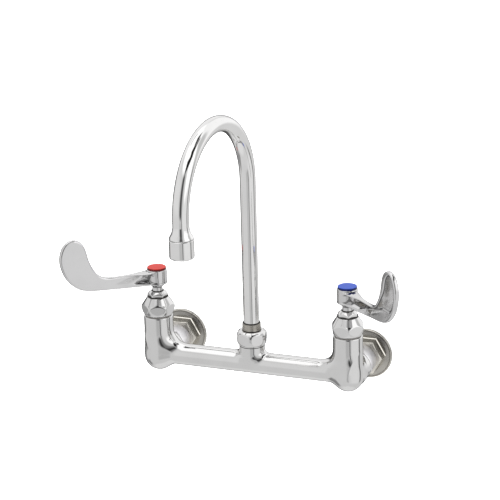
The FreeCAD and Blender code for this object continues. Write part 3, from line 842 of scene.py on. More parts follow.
class SmoothForm:
    """A closed skin on a distance field, grown from a coarse seed."""

    voxel: float = 0.8
    feeler: float = 1.1
    flat_bend: float = 0.12
    slope_step: float = 0.02
    least_slope: float = 0.05
    longest_move: float = 1.5

    def distance(self, points: np.ndarray) -> np.ndarray:
        """The field: below zero inside the metal."""
        raise NotImplementedError

    def seed(self) -> bmesh.types.BMesh:
        """Closed coarse forms that cover the same space."""
        raise NotImplementedError

    def around(self, points: np.ndarray, step: float) -> list[tuple[np.ndarray, np.ndarray]]:
        """The field a step ahead of and a step behind the points along each axis."""
        return [(self.distance(points + nudge), self.distance(points - nudge)) for nudge in np.eye(3) * step]

    def hollowness(self, points: np.ndarray) -> np.ndarray:
        """How far each point sits in an inner corner: 0 on flat metal, up to 1 in a sharp corner.

        Args:
            points: One row of x, y and z for each point.

        Returns:
            One value for each point.
        """
        total = sum(ahead + behind for ahead, behind in self.around(points, self.feeler))
        bend = (6 * self.distance(points) - total) / self.feeler
        return np.clip(bend - self.flat_bend, 0.0, 1.0)

    def slope(self, points: np.ndarray) -> np.ndarray:
        """The field's gradient by central differences."""
        pairs = self.around(points, self.slope_step)
        return np.stack([(ahead - behind) / (2 * self.slope_step) for ahead, behind in pairs], axis=-1)

    def normals(self, points: np.ndarray) -> np.ndarray:
        """The gradient with a length of 1."""
        slope = self.slope(points)
        return slope / np.maximum(np.linalg.norm(slope, axis=1)[:, None], 1e-9)

    def settle(self, points: np.ndarray, rounds: int = 4) -> np.ndarray:
        """Moves points along the slope until the field is zero.

        Args:
            points: One row of x, y and z for each point.
            rounds: How many times the points are moved.

        Returns:
            The points on the skin.
        """
        for _ in range(rounds):
            slope = self.slope(points)
            steep = np.maximum((slope ** 2).sum(axis=1), self.least_slope)
            move = (self.distance(points) / steep)[:, None] * slope
            size = np.linalg.norm(move, axis=1)[:, None]
            points = points - move * np.minimum(1.0, self.longest_move / np.maximum(size, 1e-9))
        return points

    def skin(self) -> tuple[np.ndarray, list[list[int]]]:
        """The skin's corners and faces, by two rounds of remeshing and settling.

        Returns:
            The corners and the faces.
        """
        form = self.seed()
        mesh = bpy.data.meshes.new("seed")
        form.to_mesh(mesh)
        form.free()
        carrier = bpy.data.objects.new("seed", mesh)
        bpy.context.scene.collection.objects.link(carrier)
        for _ in range(2):
            modifier = carrier.modifiers.new("remesh", "REMESH")
            modifier.mode = "VOXEL"
            modifier.voxel_size = self.voxel
            evaluated = carrier.evaluated_get(bpy.context.evaluated_depsgraph_get())
            fine = bpy.data.meshes.new_from_object(evaluated)
            carrier.modifiers.clear()
            carrier.data = fine
            points = np.zeros(len(fine.vertices) * 3)
            fine.vertices.foreach_get("co", points)
            points = self.settle(points.reshape(-1, 3))
            fine.vertices.foreach_set("co", points.ravel())
            fine.update()
        faces = [list(face.vertices) for face in fine.polygons]
        bpy.data.objects.remove(carrier)
        return points, faces


def smooth_step(value: np.ndarray, low: float, high: float) -> np.ndarray:
    """A smooth step from 0 at low to 1 at high."""
    share = np.clip((value - low) / (high - low), 0.0, 1.0)
    return share * share * (3 - 2 * share)


def stepped(bores: Sequence[tuple[float, float]]) -> list[tuple[float, float]]:
    """The profile of a stepped hole, from the radius and the floor of each bore.

    Args:
        bores: Radius and floor of each bore.

    Returns:
        Radius and height of each point.
    """
    rows = [bores[0]]
    for (radius, floor), above in zip(bores[1:], bores):
        rows += [(radius, above[1]), (radius, floor)]
    return rows


def seed_rod(form: bmesh.types.BMesh, radius: float, start: Vector, end: Vector) -> None:
    """Adds a coarse closed rod between two points.

    Args:
        form: The mesh that gets the rod.
        radius: The rod's radius.
        start: One end.
        end: The other end.
    """
    line = end - start
    turn = line.to_track_quat("Z", "Y").to_matrix().to_4x4()
    bmesh.ops.create_cone(form, cap_ends=True, segments=32, radius1=radius, radius2=radius,
                          depth=line.length, matrix=Matrix.Translation((start + end) / 2) @ turn)


def seed_ball(form: bmesh.types.BMesh, radius: float, centre: Vector) -> None:
    """Adds a coarse ball."""
    bmesh.ops.create_uvsphere(form, u_segments=32, v_segments=16, radius=radius,
                              matrix=Matrix.Translation(centre))


@dataclass
class Casting(SmoothForm):
    """The one-piece body: two posts, the bar between them, the rear bosses and the spout's boss."""

    post_radius: float = 14.9
    post_foot: float = -2.3
    post_top: float = 41.2
    lip: float = 0.9
    bar_radius: float = 11.05
    bar_rise: float = 1.2
    bar_end_blend: float = 1.0
    rear_radius: float = 16.5
    rear_root: float = 12.5
    rear_root_length: float = 12.0
    rear_face: float = 23.0
    rear_lip: float = 0.8
    centre_radius: float = 12.9
    centre_root: float = 4.0
    centre_rise: tuple = (-6.0, 9.0)
    centre_top: float = 21.5
    bead_cut: float = 1.7
    top_fillet: float = 17.0
    top_turn: tuple = (0.1, 0.95)
    front_fillet: float = 9.0
    foot_fillet: float = 6.0
    foot_turn: tuple = (0.1, 0.9)
    rear_fillet: float = 7.0
    centre_fillet: float = 6.0
    chamfer: float = 0.5
    post_bores: tuple = ((11.5, 28.0), (10.0, 12.0), (6.5, 4.5), (5.4, -7.5))
    rear_mouth: float = 13.0
    rear_bores: tuple = ((12.45, 10.5), (5.6, 16.0))
    thread_radius: float = 11.65
    thread_length: float = 6.2
    thread_chamfer: float = 0.3
    well: tuple = (9.95, 4.0)
    spare: float = 3.0
    off_field: float = 0.02
    cut_play: float = 0.05

    def distance(self, points: np.ndarray) -> np.ndarray:
        """The casting's field in the frame, made on one side and mirrored.

        Args:
            points: One row of x, y and z for each point.

        Returns:
            One distance for each point, below zero inside.
        """
        x, y, z = np.abs(points[:, 0]), points[:, 1] + WALL_GAP, points[:, 2]
        side = x - VALVE_SIDE
        bar_z = z - self.bar_rise
        bar = harder(np.hypot(y, bar_z) - self.bar_radius, side, self.bar_end_blend)
        post = np.hypot(np.hypot(side, y), np.minimum(z - self.post_foot, 0.0)) - self.post_radius
        swell = (self.rear_radius - self.rear_root) * smooth_step(y, 0.0, self.rear_root_length)
        rear = np.hypot(np.hypot(side, z), np.minimum(y, 0.0)) - self.rear_root - swell
        swell = (self.centre_radius - self.centre_root) * smooth_step(z, *self.centre_rise)
        centre = np.hypot(np.hypot(x, y), np.minimum(z, 0.0)) - self.centre_root - swell
        up = bar_z / np.maximum(np.hypot(y, bar_z), 1e-6)
        fillet = (self.front_fillet
                  + (self.top_fillet - self.front_fillet) * smooth_step(up, *self.top_turn)
                  - (self.front_fillet - self.foot_fillet) * smooth_step(-up, *self.foot_turn))
        joined = softer(bar, post, fillet)
        joined = softer(joined, rear, self.rear_fillet)
        return softer(joined, centre, self.centre_fillet)

    def seed(self) -> bmesh.types.BMesh:
        """Coarse rods and balls along the casting's axes.

        Returns:
            The coarse mesh.
        """
        form = bmesh.new()
        mid, spare = -WALL_GAP, self.spare
        seed_rod(form, self.bar_radius, Vector((-VALVE_SIDE, mid, self.bar_rise)),
                 Vector((VALVE_SIDE, mid, self.bar_rise)))
        seed_rod(form, self.centre_radius, Vector((0, mid, 0)), Vector((0, mid, self.centre_top + spare)))
        for side in (-VALVE_SIDE, VALVE_SIDE):
            seed_rod(form, self.post_radius, Vector((side, mid, self.post_foot)),
                     Vector((side, mid, self.post_top + spare)))
            seed_ball(form, self.post_radius, Vector((side, mid, self.post_foot)))
            seed_rod(form, self.rear_radius - 1, Vector((side, mid, 0)),
                     Vector((side, mid + self.rear_face + spare, 0)))
        return form

    def mouths(self) -> list[tuple[Axis, float, float, list[tuple[float, float]]]]:
        """Each machined mouth: axis, the cut's height, the skin's radius and the rings that close it.

        Returns:
            One row for each mouth.
        """
        top, chamfer, bore = self.post_top, self.chamfer, self.post_bores[0][0]
        socket = [(self.post_radius - 0.25, top - self.lip * 0.35), (self.post_radius - self.lip, top),
                  (bore + chamfer, top), (bore, top - chamfer), *stepped(self.post_bores)]
        face = self.rear_face - WALL_GAP
        bores = [(radius, face - depth) for radius, depth in self.rear_bores]
        inlet = [(self.rear_radius - 0.25, face - 0.3), (self.rear_radius - self.rear_lip, face),
                 (self.rear_mouth, face), (bores[0][0], face - chamfer), *stepped(bores)]
        rim, wide, end = self.centre_top, self.centre_radius, self.centre_top + self.thread_length
        neck = [(wide - 0.5, rim - 1.55), (wide - 0.5, rim - 1.2), (wide, rim - 1.0), (wide, rim - 0.2),
                (wide - 0.3, rim), (self.thread_radius, rim), (self.thread_radius, end - self.thread_chamfer),
                (self.thread_radius - self.thread_chamfer, end), (self.well[0], end), self.well]
        found = []
        for side in (-VALVE_SIDE, VALVE_SIDE):
            found.append((Axis(side, -WALL_GAP), top - self.lip, self.post_radius, socket))
            found.append((Axis(side, 0.0, True), face - self.rear_lip, self.rear_radius, inlet))
        found.append((Axis(0.0, -WALL_GAP), rim - self.bead_cut, wide, neck))
        return found

    def build(self) -> bpy.types.Object:
        """The finished casting, its mouths machined and closed.

        Returns:
            The new object.
        """
        form = form_of(*self.skin())
        for axis, height, radius, profile in self.mouths():
            self.machine(form, axis, height, radius + self.spare, profile)
        corners, faces = plain_form(form)
        cut = np.abs(self.distance(corners)) > self.off_field
        normals = self.normals(corners)
        normals[cut | self.machined(corners)] = 0.0
        log.info("casting: %d corners", len(corners))
        piece = add_piece("casting_skin", corners, faces, CAST_CHROME, normals)
        mark_hollows(piece, np.where(cut, 0.0, self.hollowness(corners)))
        return piece

    def machined(self, corners: np.ndarray) -> np.ndarray:
        """Which corners lie on a machined mouth, where the faces decide the shading.

        Args:
            corners: One row of x, y and z for each corner.

        Returns:
            True for each corner on a mouth.
        """
        x, y, z = corners.T
        outer = np.abs(x) > VALVE_SIDE / 2
        post = outer & (z > self.post_top - self.lip - self.cut_play)
        rear = y > self.rear_face - WALL_GAP - self.rear_lip - self.cut_play
        centre = ~outer & (z > self.centre_top - self.bead_cut - self.cut_play)
        return post | rear | centre

    def machine(self, form: bmesh.types.BMesh, axis: Axis, height: float, reach: float,
                profile: Sequence[tuple[float, float]]) -> None:
        """Cuts one end of the skin square and closes it with rings down to a floor.

        Args:
            form: The skin.
            axis: The mouth's axis.
            height: Where the cut lies along the axis.
            reach: How far from the axis the cut goes along X.
            profile: Radius and height of each ring.
        """
        normal = Vector((0, 1, 0)) if axis.towards_wall else Vector((0, 0, 1))
        centre = Vector((axis.x, axis.y, 0)) + normal * height
        near = [face for face in form.faces
                if abs(face.calc_center_median().x - axis.x) < reach
                and (face.calc_center_median() - centre).dot(normal) > -self.spare]
        geometry = dict.fromkeys([*near, *(edge for face in near for edge in face.edges),
                                  *(vert for face in near for vert in face.verts)])
        bmesh.ops.bisect_plane(form, geom=list(geometry), dist=0.001, plane_co=centre, plane_no=normal,
                               clear_outer=True)
        rim = [vert for vert in form.verts if vert.is_boundary and abs((vert.co - centre).dot(normal)) < 0.01]
        plane = [(vert.co - centre) for vert in rim]
        angles = [math.atan2(p.z, p.x) if axis.towards_wall else math.atan2(p.y, p.x) for p in plane]
        order = np.argsort(angles)
        ring = [rim[index] for index in order]
        turns = np.array(angles)[order]
        for radius, level in profile:
            spots = axis.place(np.full(len(turns), radius), turns, np.full(len(turns), level))
            above = [form.verts.new(spot) for spot in spots]
            for index in range(len(ring)):
                after = (index + 1) % len(ring)
                form.faces.new([ring[index], ring[after], above[after], above[index]])
            ring = above
        pole = form.verts.new(axis.place(np.array(0.0), np.array(0.0), np.array(profile[-1][1])))
        for index in range(len(ring)):
            form.faces.new([ring[index], ring[(index + 1) % len(ring)], pole])


@dataclass
class WristHandle(SmoothForm):
    """A wrist-blade handle in its own frame: the hub's axis is Z and the arm runs along X."""

    voxel: float = 0.55
    hub_radius: float = 10.2
    hub_foot: float = 75.6
    hub_top: float = 90.2
    hub_edge: float = 0.7
    skirt_radius: float = 5.2
    skirt_foot: float = 67.4
    cone_foot: float = 71.8
    cone_steepness: float = 0.62
    reach: float = 101.6
    height: float = 57.4
    thickness: float = 5.5
    root_half: float = 9.3
    taper: float = 46.0
    top_taper: float = 17.0
    taper_bend: float = 14.0
    face_slant: float = 0.985
    edge_blends: tuple = (1.0, 1.4, 30.0, 62.0)
    crown_half: float = 2.4
    crown_fall: float = 0.25
    upper: tuple = (80.0, 86.0)
    pocket_blends: tuple = (0.7, 1.2, 30.0, 60.0)
    web_top: float = 87.0
    pocket_top: float = 88.0
    ledge_slope: float = 0.763
    pocket_start: float = 14.0
    pocket_lean: float = 8.0
    pocket_end: float = 30.0
    roof_start: float = 22.0
    roof_rise: float = 1.2
    rim: float = 1.3
    blade_start: tuple = (40.0, 60.0)
    blade_rim: float = 0.9
    corner_rim: float = 3.6
    corner_heights: tuple = (94.0, 116.0)
    corner_end: tuple = (80.0, 90.0)
    dish: float = 1.1
    dish_start: tuple = (12.0, 40.0)
    ledge_line: tuple = ((0, 81), (20, 80.9), (32, 80.0), (40, 81.6), (50, 84.6), (60.6, 87), (70.7, 90.2),
                         (77, 92.5), (90, 92.5), (97, 97), (101, 104))
    top_shares: tuple = ((0.226, 0.222), (0.335, 0.218), (0.443, 0.222), (0.512, 0.233), (0.573, 0.264),
                         (0.633, 0.356), (0.672, 0.470), (0.705, 0.617), (0.722, 0.744), (0.741, 0.852))
    tip_shares: tuple = ((0.779, 0.945), (0.840, 0.998), (0.902, 0.987), (0.957, 0.904), (0.990, 0.777),
                         (1.000, 0.653), (0.989, 0.512), (0.947, 0.324), (0.882, 0.180), (0.804, 0.084))
    foot_shares: tuple = ((0.704, 0.035), (0.600, 0.017), (0.498, 0.007), (0.341, 0.002))
    outline_points: int = 260
    outline: np.ndarray = field(init=False, repr=False)

    def __post_init__(self) -> None:
        """Draws the side outline once, as a closed run of points."""
        shares = np.array(self.top_shares + self.tip_shares + self.foot_shares)
        spots = shares * np.array([self.reach, self.height]) + np.array([0.0, self.hub_foot])
        knots = np.vstack([[0.0, self.hub_top - 0.3], spots, [0.0, self.hub_foot]])
        self.outline = self.spline(knots, self.outline_points)

    @staticmethod
    def spline(knots: np.ndarray, count: int) -> np.ndarray:
        """A natural cubic spline through points, sampled evenly along its chords.

        Args:
            knots: The points that it passes.
            count: How many samples it gives.

        Returns:
            One row for each sample.
        """
        place = np.concatenate([[0.0], np.cumsum(np.linalg.norm(np.diff(knots, axis=0), axis=1))])
        gaps = np.diff(place)
        size = len(knots)
        matrix = np.eye(size)
        right = np.zeros((size, 2))
        for row in range(1, size - 1):
            matrix[row, row - 1:row + 2] = gaps[row - 1], 2 * (gaps[row - 1] + gaps[row]), gaps[row]
            right[row] = 6 * ((knots[row + 1] - knots[row]) / gaps[row]
                              - (knots[row] - knots[row - 1]) / gaps[row - 1])
        bend = np.linalg.solve(matrix, right)
        where = np.linspace(0.0, place[-1], count)
        part = np.clip(np.searchsorted(place, where, side="right") - 1, 0, size - 2)
        gap = gaps[part][:, None]
        ahead, behind = (place[part + 1] - where)[:, None], (where - place[part])[:, None]
        return (bend[part] * ahead ** 3 / (6 * gap) + bend[part + 1] * behind ** 3 / (6 * gap)
                + (knots[part] / gap - bend[part] * gap / 6) * ahead
                + (knots[part + 1] / gap - bend[part + 1] * gap / 6) * behind)

    def side_distance(self, x: np.ndarray, z: np.ndarray) -> np.ndarray:
        """Signed distance to the side outline, below zero inside.

        Args:
            x: Places along the arm.
            z: Heights.

        Returns:
            One distance for each place.
        """
        start = self.outline
        end = np.roll(start, -1, axis=0)
        along = end - start
        length = np.maximum((along ** 2).sum(axis=1), 1e-12)
        result = np.zeros(len(x))
        for first in range(0, len(x), 4000):
            part = slice(first, first + 4000)
            px, pz = x[part, None] - start[None, :, 0], z[part, None] - start[None, :, 1]
            share = np.clip((px * along[:, 0] + pz * along[:, 1]) / length, 0.0, 1.0)
            away = np.hypot(px - share * along[:, 0], pz - share * along[:, 1]).min(axis=1)
            low, high = start[None, :, 1] <= z[part, None], end[None, :, 1] <= z[part, None]
            turn = along[:, 0] * pz - along[:, 1] * px
            winding = (low & ~high & (turn > 0)).sum(axis=1) - (~low & high & (turn < 0)).sum(axis=1)
            result[part] = np.where(winding != 0, -away, away)
        return result

    def distance(self, points: np.ndarray) -> np.ndarray:
        """The handle's field: hub, tapered arm, its hollows and the blade with one dished face.

        Args:
            points: One row of x, y and z for each point.

        Returns:
            One distance for each point, below zero inside.
        """
        x, y, z = points.T
        across = np.abs(y)
        half = self.thickness / 2
        upper = smooth_step(z, *self.upper)
        side = self.side_distance(x, z)
        side = side + self.crown_fall * np.maximum(across - self.crown_half, 0.0) * upper
        taper = self.taper - self.top_taper * smooth_step(z, self.upper[0], self.web_top)
        narrowing = np.logaddexp(0.0, self.taper_bend * (1 - x / taper)) / self.taper_bend
        faces = (across - half - (self.root_half - half) * narrowing) * self.face_slant
        root, more, start, end = self.edge_blends
        arm = harder(side, faces, root + more * smooth_step(x, start, end))
        arm = harder(arm, -self.hollow(x, y, z, side), 0.7)
        away = np.hypot(x, y)
        hub = harder(away - self.hub_radius, z - self.hub_top, self.hub_edge)
        hub = harder(hub, self.hub_foot - z, 0.3)
        share = np.clip((z - self.cone_foot) / (self.hub_foot - self.cone_foot), 0.0, 1.0)
        neck = away - self.skirt_radius - (self.hub_radius - self.skirt_radius) * share
        neck = harder(neck * self.cone_steepness, z - self.hub_foot - 1, 0.3)
        neck = harder(neck, self.skirt_foot - z, 0.5)
        return softer(arm, softer(hub, neck, 0.8), 1.5)

    def hollow(self, x: np.ndarray, y: np.ndarray, z: np.ndarray, side: np.ndarray) -> np.ndarray:
        """The hollows' field: a short pocket on one face, and one that runs on into the blade's dish.

        Args:
            x: Places along the arm.
            y: Places across the arm; the dished face is on the negative side.
            z: Heights.
            side: Signed distance to the side outline.

        Returns:
            The field, below zero inside a hollow.
        """
        across, half = np.abs(y), self.thickness / 2
        long = y < 0
        outer = half + (self.root_half - half) * (1 - self.pocket_end / self.taper) + 0.4
        along = x + self.pocket_lean * smooth_step(z, *self.upper)
        short_web = half + (outer - half) * smooth_step(along, self.pocket_start, self.pocket_end)
        long_web = half - self.dish * smooth_step(x, *self.dish_start)
        web = np.where(long, long_web, short_web)
        places, heights = np.array(self.ledge_line, dtype=float).T
        floor = np.where(long, np.interp(x, places, heights), heights[0]) - self.ledge_slope * (across - half)
        roof = self.web_top + (self.pocket_top - self.web_top) * (across - half) / (self.hub_radius - half)
        roof = roof + np.maximum(x - self.roof_start, 0.0) * self.roof_rise
        corner = smooth_step(z, *self.corner_heights) * (1 - smooth_step(x, *self.corner_end))
        rim = self.rim + self.blade_rim * smooth_step(x, *self.blade_start) + self.corner_rim * corner
        bounds = harder(harder((floor - z) * 0.8, z - roof, 1.0), side + rim, 1.5)
        root, more, start, end = self.pocket_blends
        return harder(web - across, bounds, root + more * smooth_step(x, start, end))

    def seed(self) -> bmesh.types.BMesh:
        """A coarse hub, neck, tapered arm and blade slab.

        Returns:
            The coarse mesh.
        """
        form = bmesh.new()
        seed_rod(form, self.hub_radius, Vector((0, 0, self.hub_foot)), Vector((0, 0, self.hub_top)))
        seed_rod(form, self.skirt_radius, Vector((0, 0, self.skirt_foot)), Vector((0, 0, self.hub_foot + 1)))
        half = self.thickness / 2
        left = [form.verts.new((x, -half, z)) for x, z in self.outline]
        right = [form.verts.new((x, half, z)) for x, z in self.outline]
        form.faces.new(left)
        form.faces.new(right[::-1])
        for index in range(len(left)):
            after = (index + 1) % len(left)
            form.faces.new([left[after], left[index], right[index], right[after]])
        for low, high, taper in ((self.hub_foot + 0.4, self.hub_foot + 3, self.taper),
                                 (self.web_top + 0.3, self.hub_top - 1.6, self.taper - self.top_taper)):
            corners = [(x, y, z) for z in (low, high)
                       for x, y in ((0, -9.5), (taper, -half), (taper, half), (0, 9.5))]
            block = [form.verts.new(corner) for corner in corners]
            for loop in ((0, 1, 2, 3), (7, 6, 5, 4), (0, 4, 5, 1), (1, 5, 6, 2), (2, 6, 7, 3), (3, 7, 4, 0)):
                form.faces.new([block[index] for index in loop])
        bmesh.ops.recalc_face_normals(form, faces=form.faces)
        return form

    def build(self) -> list[tuple[Side, bpy.types.Object]]:
        """Both handles, from one skin turned to each side's angle.

        Returns:
            Each side and its handle.
        """
        points, faces = self.skin()
        normals = self.normals(points)
        hollows = self.hollowness(points)
        made = []
        for side in Side:
            cosine, sine = math.cos(side.handle_turn), math.sin(side.handle_turn)
            turn = np.array([[cosine, sine, 0], [-sine, cosine, 0], [0, 0, 1]])
            corners = points @ turn + np.array([side.valve_x, -WALL_GAP, 0])
            piece = add_piece(side.label + "_wrist_handle", corners, faces, BLADE_CHROME, normals @ turn)
            mark_hollows(piece, hollows)
            made.append((side, piece))
        log.info("handles: %d corners each", len(points))
        return made


def add_gap_shade(axis: Axis, name: str, body: Body, bore: float, rim: float, low: float, high: float) -> None:
    """Seats painted shade in a narrow gap: a thin near-black ring between two radii and two heights."""
    rows = np.array([(bore, low), (rim, low), (rim, high), (bore, high)])
    seat(Lathe(axis, 96).turn(name, rows, GAP_SHADE, True), body, "nickel")


@dataclass
class ValveTop:
    """What stands on a post: bonnet, packing nut and index button, with near-black rings of painted shade in
    the gap between bonnet and nut and in the nut's throat.
    """

    side: Side
    bonnet_turn: float
    bonnet_flats: float = 30.2
    barrel_radius: float = 11.4
    barrel_foot: float = 28.6
    bonnet_foot: float = 42.0
    bonnet_top: float = 61.0
    bonnet_bends: tuple = ((13.4, 42.0, 0.2), (14.5, 43.1, 0.7), (15.1, 44.2, 2.0), (16.3, 47.0, 4.0),
                           (17.2, 49.9, 1.2), (17.2, 51.5, 1.2), (15.1, 54.3, 3.0), (10.8, 61.0, 0.5))
    neck_radius: float = 8.4
    neck_height: float = 3.1
    nut_foot: float = 62.0
    nut_base: float = 10.5
    nut_top_radius: float = 7.4
    nut_rim: float = 2.0
    nut_top: float = 67.2
    nut_flats: float = 18.6
    nut_bore: float = 5.0
    throat_rim: float = 6.3
    button_radius: float = 9.6
    button_foot: float = 90.2
    button_height: float = 2.4

    def build(self) -> None:
        """Builds, dresses and seats each piece on this side's valve."""
        axis = Axis(self.side.valve_x, -WALL_GAP)
        label = self.side.label
        turn = math.radians(self.bonnet_turn)
        bonnet = Lathe(axis, 336, Hexagon(self.bonnet_flats, turn, 0.7, 0.7)).turn(
            label + "_bonnet_dome", self.bonnet_profile(), CHROME)
        seat(bonnet, Body.FAUCET, "chrome", label + "_bonnet")
        nut = Lathe(axis, 288, Hexagon(self.nut_flats, turn, 0.4, 0.4)).turn(
            label + "_packing_cap", self.nut_profile(), CHROME)
        seat(nut, Body.FAUCET, "chrome", label + "_packing_nut")
        # Painted shade: near-black rings in the gap between bonnet and nut, and in the nut's throat round the
        # stem.
        add_gap_shade(axis, label + "_neck_groove", Body.FAUCET, self.neck_radius, self.nut_base + 0.1,
                   self.bonnet_top - 0.1, self.nut_foot + 0.3)
        add_gap_shade(axis, label + "_nut_throat", Body.FAUCET, self.nut_bore - 0.1, self.throat_rim,
                   self.nut_top - 0.7, self.nut_top + 0.1)
        finish = INDEX_RED if self.side is Side.HOT else INDEX_BLUE
        button = Lathe(axis, 128).turn(label + "_button", self.button_profile(), finish)
        seat(button, self.side.control, finish.name, label + "_index_button")

    def bonnet_profile(self) -> np.ndarray:
        """From the barrel in the post, round the belt and the shoulder, to the threaded neck.

        Returns:
            One row of radius and height for each ring.
        """
        barrel, foot = self.barrel_radius, self.barrel_foot
        neck, low, high = self.neck_radius, self.bonnet_top, self.bonnet_top + self.neck_height
        return rounded([(0, foot, 0), (barrel, foot, 0.4), (barrel, self.bonnet_foot, 0.2),
                        *self.bonnet_bends, (neck, low, 0.2), (neck, high, 0.3), (0, high, 0)], 0.7)

    def nut_profile(self) -> np.ndarray:
        """The packing nut's rim, tapered shoulder and crown.

        Returns:
            One row of radius and height for each ring.
        """
        low, top, base, bore = self.nut_foot, self.nut_top, self.nut_base, self.nut_bore
        shoulder = (base + self.nut_top_radius) / 2 + 0.5
        return rounded([(0, low, 0), (base - 0.3, low, 0), (base, low + 0.4, 0.3),
                        (base, low + self.nut_rim, 0.6), (shoulder, top - 2.2, 0.8),
                        (self.nut_top_radius, top, 0.7), (bore + 0.3, top, 0.25),
                        (bore, top - 0.8, 0.1), (0, top - 0.8, 0)], 0.35)

    def button_profile(self) -> np.ndarray:
        """A flat button with a rolled rim and a shallow dish.

        Returns:
            One row of radius and height for each ring.
        """
        low, high, rim = self.button_foot, self.button_foot + self.button_height, self.button_radius
        return rounded([(0, low, 0), (rim - 0.15, low, 0.1), (rim, low + 0.3, 0.2), (rim, high - 0.2, 0.35),
                        (rim - 0.9, high, 0.4), (rim - 1.7, high - 0.12, 0.3), (0, high - 0.05, 0)], 0.8)


@dataclass
class WallInlet:
    """A wall flange with its hexagon, the round locknut and the thread of the supply."""

    side: Side
    flange_radius: float = 26.0
    flange_thickness: float = 3.0
    neck_radius: float = 10.4
    hex_flats: float = 33.3
    hex_front: float = -16.0
    hex_corner: float = 17.9
    hex_floor: float = -14.0
    corner_share: float = 0.5774
    bead_width: float = 1.3
    nut_rear: float = 14.3
    nut_front: float = 15.9
    nut_ends: tuple = (-38.5, -16.3)
    tail_radius: float = 12.4
    tail_bore: float = 8.2
    tail_end: float = -50.1
    pipe_radius: float = 9.2
    pipe_floor: float = -15.6
    thread_start: float = -1.4
    thread_depth: float = 12.0
    thread_turns: float = 7.0
    thread_ridge: float = 0.5
    thread_inset: float = 0.35

    def build(self) -> None:
        """Builds, dresses and seats the inlet's pieces."""
        axis = Axis(self.side.valve_x, 0.0, True)
        label = self.side.label
        flange = Lathe(axis, 160).turn(label + "_wall_flange", self.flange_profile(), ROUGH_NICKEL)
        seat(flange, Body.FAUCET, "nickel", label + "_inlet_adapter")
        hexagon = Lathe(axis, 240, Hexagon(self.hex_flats, 0.0)).turn(
            label + "_inlet_hexagon", self.hexagon_profile(), FLAT_NICKEL)
        seat(hexagon, Body.FAUCET, "nickel")
        seat(self.bead(axis, label), Body.FAUCET, "nickel")
        rim, face = self.flange_radius - 1.1, -self.flange_thickness + 0.1
        line = np.array([(rim, face), (rim + 0.8, face), (rim + 0.65, face - 0.4), (rim + 0.15, face - 0.4)])
        seat(Lathe(axis, 160).turn(label + "_rim_bead", line, POLISHED_NICKEL, True), Body.FAUCET, "nickel")
        nut = Lathe(axis, 144).turn(label + "_round_nut", self.nut_profile(), LIT_SATIN_CHROME)
        seat(nut, Body.FAUCET, "satin_chrome", label + "_inlet_locknut")
        seat(self.thread(label), Body.FAUCET, "nickel")

    def flange_profile(self) -> np.ndarray:
        """The flange, turned with a bead and a groove round its rim, and the pipe hole behind it.

        Returns:
            One row of radius and height for each ring.
        """
        front, edge = -self.flange_thickness, self.flange_radius
        pipe, floor = self.pipe_radius, self.pipe_floor
        return rounded([(0, floor, 0), (8.0, floor, 0), (8.4, floor + 0.4, 0), (pipe, floor + 0.6, 0),
                        (pipe, -1.2, 0.1), (pipe + 1.2, 0, 0.1), (edge - 0.3, 0, 0),
                        (edge, -0.5, 0.2), (edge, front + 0.5, 0.4), (edge - 0.6, front, 0.4),
                        (edge - 1.3, front, 0.3), (edge - 1.6, front + 0.6, 0.1),
                        (edge - 2.1, front + 0.6, 0.1), (edge - 2.4, front + 0.1, 0.1),
                        (19.9, front - 0.3, 0), (14.0, front, 0), (self.neck_radius, front - 0.4, 0),
                        (self.neck_radius, floor - 0.1, 0.2), (0, floor - 0.1, 0)], 0.9)

    def hexagon_profile(self) -> np.ndarray:
        """The wrench hexagon with a chamfer in front and a fillet at its foot, and the threaded tail.

        Returns:
            One row of radius and height for each ring.
        """
        face, foot, corner = self.hex_front, -self.flange_thickness - 0.02, self.hex_corner
        full, tail, end = self.hex_flats * self.corner_share + 0.4, self.tail_radius, self.tail_end
        return rounded([(0, end, 0), (self.tail_bore, end, 0), (tail - 0.6, end, 0.1), (tail, end + 0.7, 0.1),
                        (tail, face - 0.2, 0), (tail + 0.4, face, 0.2), (corner - 1.2, face, 0.3),
                        (full, face + 1.9, 0.3), (full, foot - 0.3, 0), (full - 0.4, foot, 0),
                        (12.0, foot, 0), (10.6, self.hex_floor, 0), (0, self.hex_floor, 0)], 0.7)

    def bead(self, axis: Axis, label: str) -> bpy.types.Object:
        """The bright fillet round the hexagon's foot, a thin six-sided ring.

        Args:
            axis: The inlet's axis.
            label: The start of the piece's name.

        Returns:
            The new object.
        """
        foot = -self.flange_thickness - 0.25
        wide = Hexagon(self.hex_flats + self.bead_width, 0.0)
        angles = wide.angles(24)
        reach = wide.radius(angles)
        rows = [(-1.4, foot), (0.0, foot), (0.05, foot - 0.15), (-0.7, foot - 1.15), (-0.85, foot - 1.35),
                (-1.4, foot - 1.35)]
        grid = np.stack([axis.place(reach + inward, angles, np.full(len(angles), height))
                         for inward, height in rows])
        return add_piece(label + "_hexagon_bead", *Lathe(axis).stitch(grid, True), finish=POLISHED_NICKEL)

    def nut_profile(self) -> np.ndarray:
        """The smooth round locknut, a ring with a rolled front edge.

        Returns:
            One row of radius and height for each ring.
        """
        (front, rear), bore = self.nut_ends, self.tail_radius + 0.05
        return rounded([(bore, rear, 0), (self.nut_rear - 0.4, rear, 0.2), (self.nut_rear, rear - 0.4, 0.3),
                        (self.nut_front, front + 2.2, 1.6), (self.nut_front - 1.1, front, 0.4),
                        (bore, front, 0), (bore, rear, 0)], 0.7)

